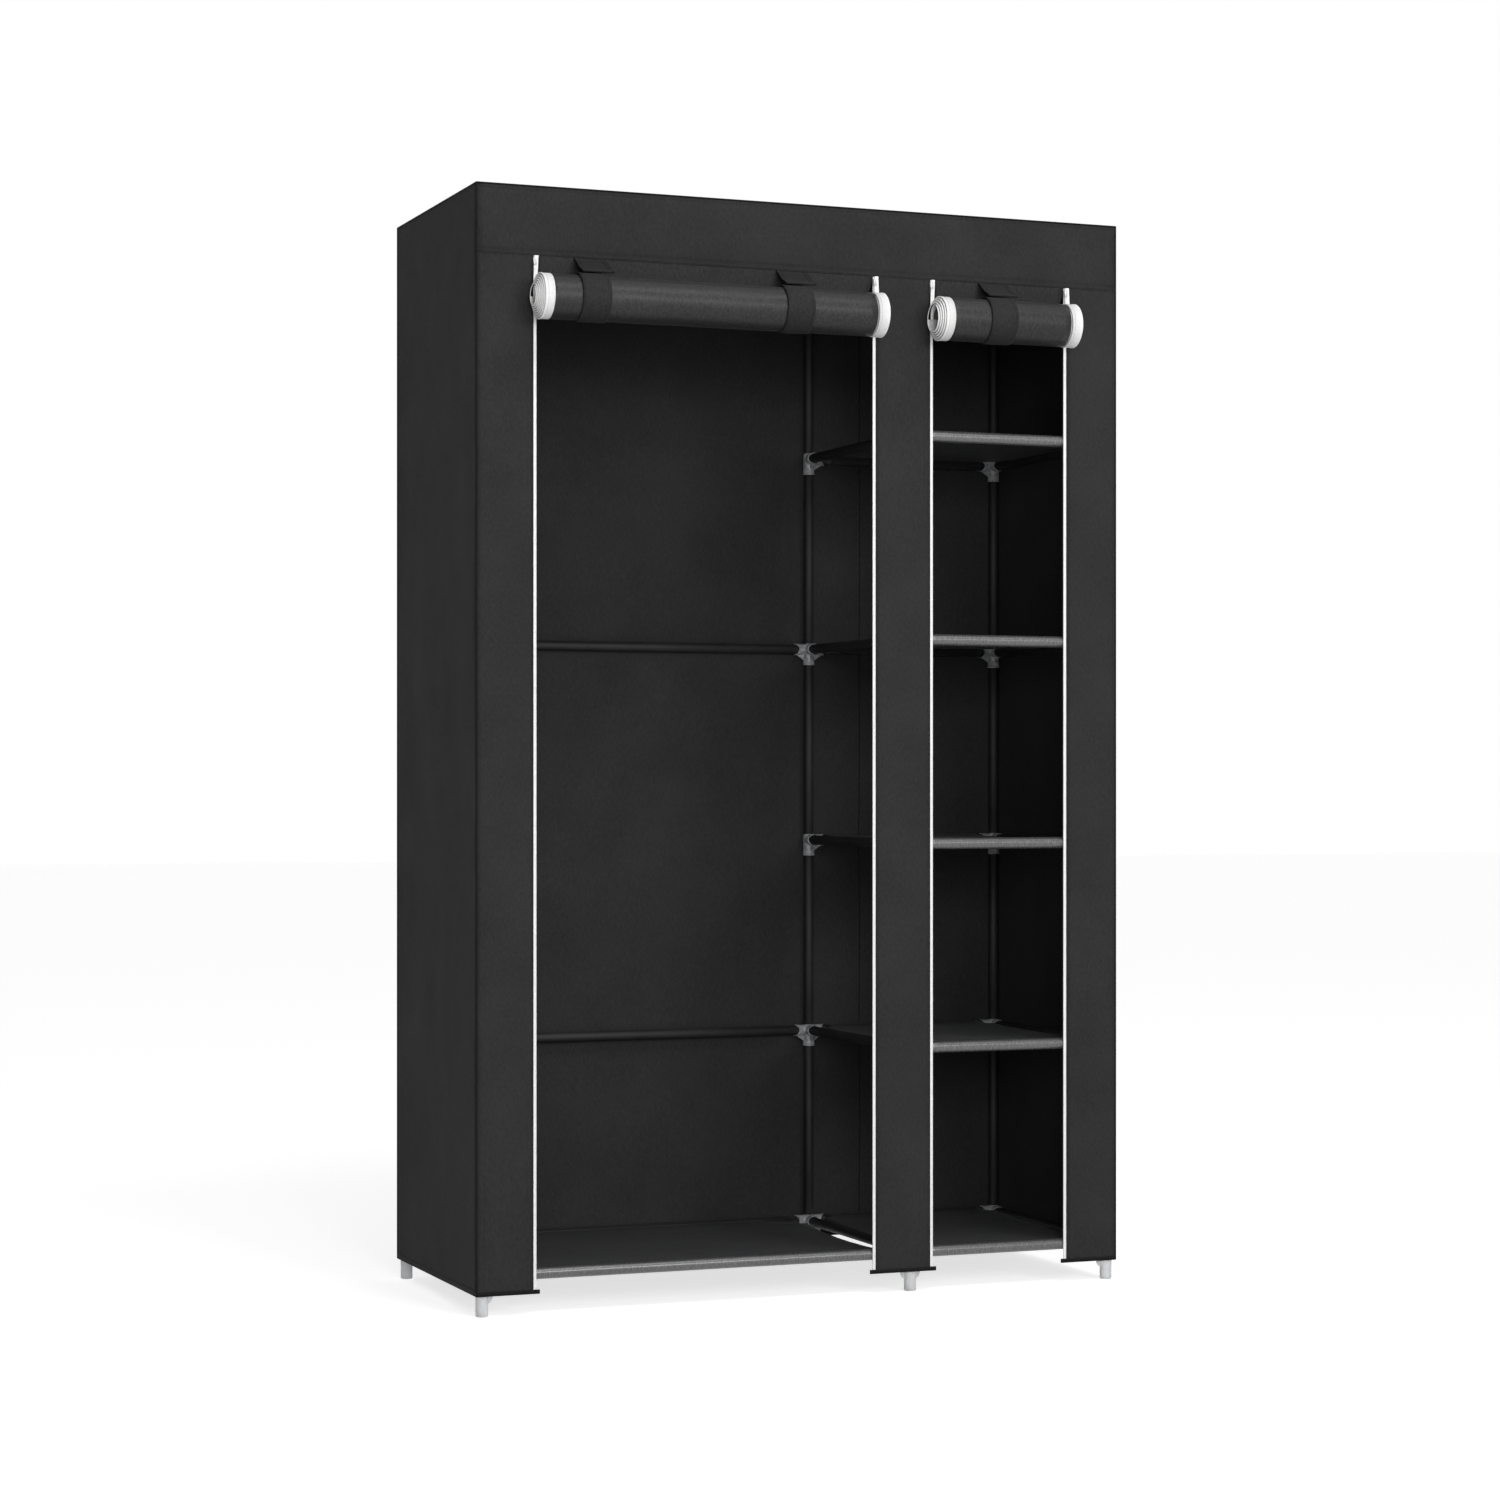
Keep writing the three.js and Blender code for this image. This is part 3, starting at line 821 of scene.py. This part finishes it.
def panel(what, corner, across, up, bulge, step=14 * MM):
    """A wall of cloth: a fine grid from a corner along two edges, pushed in or out by its bulge."""
    corner, across, up = (Vector(v) for v in (corner, across, up))
    normal = across.cross(up).normalized()
    n_u, n_v = max(4, round(across.length / step)), max(4, round(up.length / step))
    points = []
    for u in shares(n_u):
        for v in shares(n_v):
            out = bulge(u, v, u * across.length, v * up.length)
            points.append(corner + across * u + up * v + normal * out)
    made = piece("cloth_" + what, points, grid_faces(n_u + 1, n_v + 1), "cover")
    thicken(made, CLOTH, -1.0)
    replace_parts(made, "cover_" + what)


def fade_in(u, v, steepness):
    """0 at every edge, 1 inside."""
    return min(1, steepness * (16 * max(0, u * (1 - u) * v * (1 - v))) ** 0.5)


def between_rails(place, rails, slack):
    """How far slack cloth moves in between the rails that it lies against."""
    for low, high in zip(rails, rails[1:]):
        if low <= place <= high:
            return slack * sin(pi * (place - low) / (high - low)) ** 2
    return 0.0


def held_out(push, z):
    """Keeps cloth from sinking into the connectors, tubes and rods that it lies against."""
    nearest = min(abs(z - rail) for rail in all_heights)
    free = SINK_NEAR_RAIL + max(0.0, nearest - RAIL_ZONE) * SINK_SLOPE
    return max(push, -free)


def side_bulge(rails, seed):
    def bulge(u, v, across, up):
        slack = between_rails(bottom + up, rails, 5 * MM) * bell(u, 0.7)
        folds = 1.6 * MM * wrinkle(across, up * 0.35, seed, 0.12)
        folds += 0.7 * MM * wrinkle(across, up, seed + 5, 0.06)
        return held_out((-slack + folds) * fade_in(u, v, 3), bottom + up)
    return bulge


def back_bulge(u, v, across, up):
    pillow = between_rails(u, [0, (right - columns["middle"]) / width, 1], 1.0)
    rails = all_heights if right - across > columns["middle"] else left_heights
    slack = between_rails(bottom + up, rails, 4 * MM) * pillow
    folds = 1.8 * MM * wrinkle(across, up * 0.3, 31, 0.15) + 0.7 * MM * wrinkle(across, up, 36, 0.07)
    off_crease = abs(right - across - columns["middle"] - CREASE_OFFSET) / CREASE_WIDTH
    crease = CREASE_HEIGHT * max(0.0, 1 - off_crease)
    return held_out((-slack + folds + crease) * fade_in(u, v, 3), bottom + up)


def roof_bulge(u, v, across, up):
    middle = (columns["middle"] - left) / width
    slack = (9 if u < middle else 5) * MM * between_rails(u, [0, middle, 1], 1.0) * bell(v, 0.7)
    return -slack + 1.0 * MM * wrinkle(across, up, 41, 0.1) * fade_in(u, v, 3)


def front_bulge(seed, size):
    def bulge(u, v, across, up):
        folds = size * wrinkle(across, up * 0.3, seed, 0.09)
        folds += 0.35 * size * wrinkle(across, up, seed + 4, 0.05)
        return (folds + 0.7 * size) * fade_in(u, v, 4)
    return bulge


def add_back_seam():
    """The corded seam inside the back wall, which follows the wall's bulge."""
    seam_x = columns["middle"] + CREASE_OFFSET
    run = []
    for p in line((seam_x, back, bottom + HEM_HEIGHT), (seam_x, back, top - HEM_HEIGHT), 90):
        across, up = right - p.x, p.z - bottom
        inside = back_bulge(across / width, up / height, across, up) - CLOTH - CREASE_CORD / 2
        run.append(p + Vector((0, inside, 0)))
    bag = Bag()
    add_piping(bag, run, CREASE_CORD)
    bag.make("seam_back", "binding")


def add_cover():
    """Roof, back, sides and header, then the fixed front strips."""
    panel("roof", (left, front, top - 0.3 * MM), (width, 0, 0), (0, depth, 0), roof_bulge)
    panel("back", (right, back, bottom), (-width, 0, 0), (0, 0, height), back_bulge,
          step=18 * MM)
    add_back_seam()
    panel("side_left", (left, back, bottom), (0, -depth, 0), (0, 0, height), side_bulge(left_heights, 51))
    panel("side_right", (right, front, bottom), (0, depth, 0), (0, 0, height), side_bulge(all_heights, 61))
    panel("header", (left, front, seam), (width, 0, 0), (0, 0, top - seam), front_bulge(71, 0.9 * MM))
    for i, (name, (a, b)) in enumerate(strips.items()):
        a, b = a + (ZIP_INSET if a > left else 0), b - (ZIP_INSET if b < right else 0)
        panel(f"strip_{name}", (a, front, bottom), (b - a, 0, 0), (0, 0, seam - bottom),
              front_bulge(80 + 9 * i, STRIP_FOLDS[name]), step=9 * MM)


# Cover edges

def add_piped_seams():
    """Piping on the cover's corners and round its roof."""
    corners = [(left, front), (right, front), (right, back), (left, back)]
    bag = Bag()
    for a, b in zip(corners, corners[1:] + corners[:1]):
        add_piping(bag, line((*a, top - PIPING_LIP), (*b, top - PIPING_LIP), 24))
    for x, y in corners:
        add_piping(bag, line((x, y, bottom), (x, y, top), 48))
    bag.make("piping", "binding")


def add_header_hem():
    proud, deep = 0.4 * MM, 8 * MM
    profile = [(0, 0), (-proud, 0.5 * MM), (-proud * 1.1, deep / 2), (-proud, deep - 0.5 * MM), (0, deep)]
    rings = []
    for share in shares(60):
        x = left + 1 * MM + (width - 2 * MM) * share
        rings.append([Vector((x, front + y - PIPING_LIP, seam - 1 * MM + z)) for y, z in profile])
    Bag(rings).make("header_hem", "cover")


def add_hem(bag, cords, high, a, b, normal, past_a=0.0, past_b=0.0):
    """A hem or binding along a lower edge, with a dark cord below that runs on past the cloth's sides."""
    normal, a, b = Vector(normal), Vector(a), Vector(b)
    along = (b - a).normalized()
    rings = []
    for p in line(a, b, 30):
        out = HEM_PROUD + 0.2 * MM * wrinkle(p.x + p.y, p.z, 90, 0.03)
        inner, outer = p - normal * HEM_PROUD, p + normal * out
        rings.append([inner, inner + UP * high, p + UP * high, outer + UP * (high - HEM_PROUD), outer])
    bag.loft(rings)
    add_piping(cords, line(a - along * past_a, b + along * past_b, 30), CORD_RADIUS)
    for end, way, reach in ((a, -along, past_a), (b, along, past_b)):
        if reach:
            corners = [normal * CORD_RADIUS * side + UP * z
                       for side, z in ((-1, 0), (1, 0), (1, TAB_HEIGHT), (-1, TAB_HEIGHT))]
            cords.loft([[base + corner for corner in corners] for base in (end, end + way * reach)])


def add_lower_edges():
    """Bindings below the front strips, folded hems round the rest, and the cord in all of them."""
    folded, bound, cords = Bag(), Bag(), Bag()
    for a, b in strips.values():
        past_a = 0 if a == left else HEM_OVERRUN
        past_b = 0 if b == right else HEM_OVERRUN
        add_hem(bound, cords, TAB_HEIGHT, (a, front, bottom), (b, front, bottom), (0, -1, 0), past_a, past_b)
    for x, way in ((left, -1), (right, 1)):
        add_hem(folded, cords, HEM_HEIGHT, (x, front, bottom), (x, back, bottom), (way, 0, 0))
    add_hem(folded, cords, HEM_HEIGHT, (left, back, bottom), (right, back, bottom), (0, 1, 0))
    folded.make("hem_fold", "cover")
    bound.make("strip_binding", "binding")
    cords.make("hem_cord", "binding")


def add_cover_stitches():
    """Two rows below the header, and rows beside the zips, the corners and the roof's seam."""
    off, inset = 0.25 * MM, 6 * MM
    y = front - off
    low, high = bottom + HEM_HEIGHT, top - inset
    runs = []
    for z in (seam + 1.5 * MM, seam + 5.5 * MM):
        runs.append(((left + 8 * MM, y - 0.4 * MM, z), (right - 3 * MM, y - 0.4 * MM, z), (0, -1, 0)))
    for name, (a, b) in strips.items():
        for x in (a + (2 if name == "left" else 1) * inset, b - inset, b - 2 * inset):
            runs.append(((x, y, low), (x, y, seam - 2 * MM), (0, -1, 0)))
    for x, way in ((left - off, -1), (right + off, 1)):
        for side_y in (front + inset, back - inset):
            runs.append(((x, side_y, low), (x, side_y, high), (way, 0, 0)))
        runs.append(((x, front + inset, high), (x, back - inset, high), (way, 0, 0)))
    runs.append(((left + inset, y, high), (right - inset, y, high), (0, -1, 0)))
    thread = Bag()
    for a, b, normal in runs:
        add_stitches(thread, [a, b], normal)
    thread.make("cover_stitches", "thread", smooth=False)


# Zips

def add_zip_half(name, x, away):
    """The fixed half of a zip: tape under the strip's edge, and a row of teeth along its free edge."""
    low, high = bottom + 2 * MM, seam - 1 * MM
    wide, under, thick = 2.6 * MM, 9 * MM, 0.9 * MM
    y = front + CLOTH + 0.2 * MM + thick
    rings = []
    for p in line((x, y, low), (x, y, high), 120):
        sway = 0.15 * MM * wrinkle(p.z, 0, x * 40, 0.07)
        rings.append(rectangle(x - away * under, x + away * wide + sway, y, y - thick, p.z))
    bag = Bag(rings)
    tooth_x, tooth_y = x + away * (wide - 0.55 * MM), y - thick / 2
    half_x, half_y, half_z = 0.9 * MM, 0.8 * MM, 0.78 * MM
    for i in range(int((high - low) / ZIP_PITCH)):
        z = low + (i + 0.5) * ZIP_PITCH
        bag.loft([rectangle(tooth_x - half_x, tooth_x + half_x, tooth_y - half_y, tooth_y + half_y, end)
                  for end in (z - half_z, z + half_z)])
    bag.make(name, "tape", "zip_tape", smooth=False)


def add_zips():
    for side, (a, b) in doors.items():
        add_zip_half(f"zip_fixed_{side}_1", a, 1)
        add_zip_half(f"zip_fixed_{side}_2", b, -1)


def add_slider(node, body):
    """A small zip slider: waisted body with a bridge, and a pull hanging from it."""
    low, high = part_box(node)
    x, wide = middle_of(node).x, SLIDER_WIDTH / 2
    body_low = high.z - SLIDER_HEIGHT
    outline = [(-0.55, 0.0), (-0.8, 0.25), (-1.0, 0.7), (-0.9, 1.0)]
    outline += [(-x_part, z_part) for x_part, z_part in reversed(outline)]
    rings = []
    for y, grow in ((high.y, 0.92), (high.y - 0.6 * MM, 1), (low.y + 2 * MM, 1), (low.y + 1.4 * MM, 0.9)):
        rings.append([Vector((x + wide * sx * grow, y, body_low + SLIDER_HEIGHT * sz)) for sx, sz in outline])
    bag = Bag(rings)
    bridge = ((1.8, 2), (0.8, 4), (0.8, 9), (1.8, 11))
    add_piping(bag, [Vector((x, low.y + y * MM, body_low + z * MM)) for y, z in bridge], 0.7 * MM)
    pull_y = high.y - 1.0 * MM
    stops = ((body_low + 4 * MM, 0.4), (body_low - 2 * MM, 0.55), (low.z + 5 * MM, 0.6), (low.z, 0.45))
    bag.loft([rectangle(x - wide * half, x + wide * half, pull_y, pull_y - 1 * MM, z) for z, half in stops])
    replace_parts(bag.make("zip_pull_" + node, "slider", "zip_slider", body), node)


# Door rolls, whose turns are counted from the outer end at the rear

def on_axis(x):
    """A point on the axis that both rolls share."""
    return Vector((x, roll_y, roll_z))


def outward(angle):
    """A unit vector square to that axis."""
    return Vector((0, cos(angle), sin(angle)))


def add_roll_stitch(bag, x, angle, radius, half, length=STITCH_LENGTH):
    """One stitch that runs round the roll."""
    out = outward(angle)
    middle = on_axis(x) + out * radius
    along = Vector((0, sin(angle), -cos(angle))) * half
    add_stitches(bag, [middle - along, middle + along], out, 2 * half, length)


def hang(made):
    """Bakes a piece's placement into its mesh."""
    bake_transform(made)


def door_path(turns):
    """The cloth's path seen from its end: down from the header's seam, then round in turns."""
    inner = CLOTH / 2
    path = []
    for i in range(DROP_STEPS):
        share = i / DROP_STEPS
        y = drop_y + (roll_y + ROLL_RADIUS - inner - drop_y) * share
        path.append((y, seam - (seam - roll_z) * share))
    for i in range(turns * TURN_STEPS + 1):
        turn = i / TURN_STEPS
        angle = -2 * pi * turn
        radius = ROLL_RADIUS - ROLL_PITCH * turn - inner
        path.append((roll_y + radius * cos(angle), roll_z + radius * sin(angle)))
    return path


def add_door(side, seed):
    """One sheet: a short drop, whose sides slip under the zip's tapes, then the turns of the roll."""
    a, b = doors[side]
    low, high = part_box(f"door_roll_{side}")
    margin, soft_edge = 3 * MM, 25 * MM
    path = door_path(ROLL_TURNS[side] + HEM_TURNS[side])
    n_u = max(16, round((high.x - low.x) / (12 * MM)))
    points = []
    for share in shares(n_u):
        for j, (y, z) in enumerate(path):
            drop_share = min(1, j / DROP_STEPS)
            under = DROP_UNDER_TAPE * min(1.0, drop_share / 0.15) * (1 - drop_share)
            x_low = a + margin - under + (low.x - a - margin) * drop_share
            x_high = b - margin + under + (high.x - b + margin) * drop_share
            past = (j - DROP_STEPS) / TURN_STEPS - ROLL_TURNS[side] - 0.05
            wider = HEM_PAST * clamp(past * 8)
            x = x_low - wider + (x_high - x_low + 2 * wider) * share
            if j >= DROP_STEPS:
                out = Vector((0, y - roll_y, z - roll_z))
                swell = 0.35 * MM * wrinkle(x, atan2(out.z, out.y) * 0.05, seed, 0.07) - 0.2 * MM
                points.append(Vector((x, y, z)) + out.normalized() * swell)
            else:
                free = clamp(min(x - x_low, x_high - x) / soft_edge)
                swing = sin(pi * drop_share)
                billow = DROP_BILLOW * free * swing * wrinkle(x, z, seed + 3, 0.05)
                points.append(Vector((x, y + billow - 0.6 * MM * swing, z)))
    made = piece(f"cloth_door_{side}", points, grid_faces(n_u + 1, len(path)), "roll", body=None)
    # The drop takes the darker strap cloth: painted shade under the roll
    second_look(made, "band", len(path) - 1, range(DROP_STEPS))
    thicken(made, CLOTH)
    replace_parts(made, f"door_roll_{side}", f"door_drop_{side}")
    hang(made)


def add_coil(node, side_sign, body, turns):
    """Zip tape wound at the roll's end, with a near-black strip between its turns, partly the cloth's edge
    and partly painted shade in the gaps, and a row of stitches.

    Each turn lies a little left of the one round it, like a slipped winding: on the left end the turns come
    out as a cone, and on the right end the outer turn hides the others.
    """
    low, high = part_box(node)
    is_left = side_sign < 0
    inner_x = high.x if is_left else low.x + RIGHT_END_SHIFT
    full = high.x - low.x
    first = FIRST_TURN_WIDTH if is_left else full - 1 * MM
    slip = (full - FIRST_TURN_WIDTH) / turns
    lap = TAPE_LAP["left" if is_left else "right"]
    inside, edge = -TAPE_THICKNESS, 0.1 * MM
    under, over = inside - TAPE_BEAD - edge, -ROLL_PITCH + TAPE_BEAD + edge
    rings, edge_and_painted_shade = [], []

    def section(turn, profile):
        """Points on the winding, from their distances along the roll and above the tape's face."""
        radius = ROLL_RADIUS + TAPE_PROUD - ROLL_PITCH * turn
        out = outward(-2 * pi * turn)
        return [on_axis(inner_x + side_sign * along) + out * (radius + lift) for along, lift in profile]

    for i in range(turns * COIL_STEPS + 1):
        turn = i / COIL_STEPS
        end = first - side_sign * slip * turn - 7 * MM * max(0.0, 1 - (turns - turn) / 0.4)
        start = max(-lap, end - TAPE_WIDTH - lap)
        foot, rim, tip = end - 3.2 * MM, end - 2.6 * MM, end - 0.7 * MM
        rings.append(section(turn, [
            (start, 0.0), (start, -0.3 * MM), (0.0, inside), (foot, inside), (rim, inside - TAPE_BEAD),
            (tip, inside - TAPE_BEAD), (end, inside / 2), (tip, TAPE_BEAD), (rim, TAPE_BEAD), (foot, 0.0)]))
        if turn <= turns - 1:
            # Near-black strip between the turns: the cloth's edge, darkened as painted shade in the gaps
            cloth = end - 0.8 * MM
            edge_and_painted_shade.append(section(turn, [(start, under), (start, over), (cloth, over), (cloth, under)]))
    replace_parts(Bag(rings).make(node + "_tape", "tape", "zip_tape", body), node)
    Bag(edge_and_painted_shade).make(node + "_lining", "binding", body=body, smooth=False)
    thread = Bag()
    pitch = 2.4 * MM
    row_x = inner_x + side_sign * (FIRST_TURN_WIDTH - 4.4 * MM)
    for i in range(int(2 * pi * ROLL_RADIUS / pitch)):
        turn = i * pitch / (2 * pi * ROLL_RADIUS)
        radius = ROLL_RADIUS + TAPE_PROUD - ROLL_PITCH * turn
        add_roll_stitch(thread, row_x, -2 * pi * turn, radius, 0.9 * MM, 1.4 * MM)
    thread.make(node + "_stitches", "tape_thread", "zip_tape", body, smooth=False)


def add_drop_tape(side, x, x_roll, k):
    """The zip's closed end beside the door's drop: both tapes and the teeth between, down to the coil."""
    start = (x, front - 0.2 * MM, seam - 1 * MM)
    end = (x_roll, roll_y + ROLL_RADIUS - 0.5 * MM, roll_z + 2 * MM)
    profile = [(-3.2, -1.0), (-3.2, -1.9), (-1.3, -1.9), (-1, -2.4)]
    profile += [(-dx, dy) for dx, dy in reversed(profile)]
    rings = [[p + Vector((dx * MM, dy * MM, 0)) for dx, dy in profile] for p in line(start, end, 60)]
    made = Bag(rings).make(f"zip_drop_{side}_{k}", "tape", "zip_tape", None, smooth=False)
    hang(made)


def add_band(middle, body, seed):
    """The strap's band round the roll, with a stitched row near each edge."""
    first, last = radians(-6), radians(-285)
    outer = ROLL_RADIUS + 0.4 * MM
    stitches = 52
    across = shares(12)
    rings = []
    for share in shares(72):
        t = first + (last - first) * share
        section = []
        for s in across:
            rounded = 0.35 * MM * (2 * abs(s - 0.5)) ** 4
            crease = 0.2 * MM * wrinkle(s * 0.1, t * 0.05, seed, 0.03)
            section.append((s, outer + 0.8 * MM - rounded + crease))
        section += [(s, outer - 0.3 * MM) for s in reversed(across)]
        rings.append([on_axis(middle + BAND_WIDTH * (s - 0.5)) + outward(t) * lift for s, lift in section])
    Bag(rings).make(f"strap_band_{seed}", "band", body=body)
    thread = Bag()
    for side in (-1, 1):
        for i in range(stitches):
            t = first + (last - first) * (i + 0.5) / stitches
            add_roll_stitch(thread, middle + side * (BAND_WIDTH / 2 - 4 * MM), t, outer + 0.75 * MM, 1.6 * MM)
    thread.make(f"strap_band_stitches_{seed}", "thread", body=body, smooth=False)


def add_flap(node, body, seed):
    """The strap's outer flap: doubled cloth with a turned and stitched border, its end lifting a little."""
    low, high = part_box(node)
    root = Vector((0, high.y, high.z - 2.0 * MM))
    tip = Vector((0, low.y, low.z + 0.2 * MM))
    length = (tip - root).length
    d = (tip - root).normalized()
    up = Vector((0, d.z, -d.y))
    border = 5 * MM
    flap_width = high.x - low.x

    def thickness(x, along):
        rim = min(x - low.x, high.x - x, length - along)
        turned_in = 0.55 * MM * clamp((border - rim) / (0.8 * MM))
        rounded = 0.7 * MM * (1 - min(1.0, rim / (1.4 * MM))) ** 2
        return 1.1 * MM + turned_in - rounded + 0.1 * MM * wrinkle(x, along, seed, 0.02)

    def curl(along):
        """The end lifts, and the root lies a little low, clear of the hem above when the flap is raised."""
        root_dip = 0.6 * MM * max(0.0, 1 - along / (8 * MM))
        return 3.4 * MM * max(0.0, along / length - 0.6) / 0.4 - root_dip

    def seat(x, along, lift=1.3 * MM):
        """A point above the flap's underside."""
        return Vector((x, 0, 0)) + root + d * along + up * (curl(along) + lift)

    spans = [v * MM for v in (0, 0.4, 1.2, 2.6, 4.2, 5.0, 5.8, 8)]
    across = spans + [flap_width / 2] + [flap_width - v for v in reversed(spans)]
    downs = [share * length for share in (0, 0.15, 0.3, 0.45, 0.6)] + [length - v for v in reversed(spans)]
    rings = []
    for along in downs:
        under = 0.1 * MM - 1.1 * MM * max(0.0, 1 - (length - along) / (4 * MM))
        upper = [seat(low.x + s, along, thickness(low.x + s, along)) for s in across]
        rings.append(upper + [seat(low.x + s, along, under) for s in reversed(across)])
    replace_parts(Bag(rings).make(f"flap_{node}", "band", body=body), node)
    # Dark cords: a bound edge along each side, and under the lifted end a painted shadow line
    edge_cords_and_painted_shadow = Bag()
    cord = 0.8 * MM
    for x in (low.x, high.x):
        add_piping(edge_cords_and_painted_shadow, [seat(x, length * i / 8, cord) for i in range(9)], cord)
    add_piping(edge_cords_and_painted_shadow, line(seat(low.x, length, -cord), seat(high.x + 2 * MM, length, -cord), 8), cord)
    edge_cords_and_painted_shadow.make(f"flap_edging_{node}", "binding", body=body)
    inset = border + 0.6 * MM
    x_a, x_b, last = low.x + inset, high.x - inset, length - inset
    paths = []
    for x in (x_a, x_b):
        paths.append([seat(x, 2 * MM), seat(x, 0.7 * length)])
        paths.append([seat(x, 0.72 * length), seat(x, last)])
    paths.append([seat(x_a, last), seat(x_b, last)])
    thread = Bag()
    for path in paths:
        add_stitches(thread, path, up, 3.4 * MM, width=1.1 * MM)
    thread.make(f"flap_stitches_{node}", "thread", body=body, smooth=False)


def add_doors():
    straps = {"left": (1, 2), "right": (3,)}
    for side, seed in (("left", 101), ("right", 131)):
        body = side + "_door"
        add_door(side, seed)
        for k, sign in ((1, -1), (2, 1)):
            add_coil(f"zip_coil_{side}_{k}", sign, body, ROLL_TURNS[side])
            add_slider(f"zip_slider_{side}_{k}", f"{side}_slider_{k}")
            x = doors[side][k - 1] + STUB_SHIFT
            add_drop_tape(side, x, x + STUB_LEAN[k], k)
        for number in straps[side]:
            node = f"strap_flap_{number}"
            add_flap(node, f"strap_{number}", 150 + number)
            add_band(middle_of(node).x - BAND_DRIFT, body, 160 + number)


add_camera()
add_world()
add_floor()
add_lamps()
add_frame_tubes()
add_connectors()
add_rail_clips()
add_shelves()
add_cover()
add_piped_seams()
add_header_hem()
add_lower_edges()
add_cover_stitches()
add_zips()
add_doors()

scene.view_settings.view_transform = "Standard"
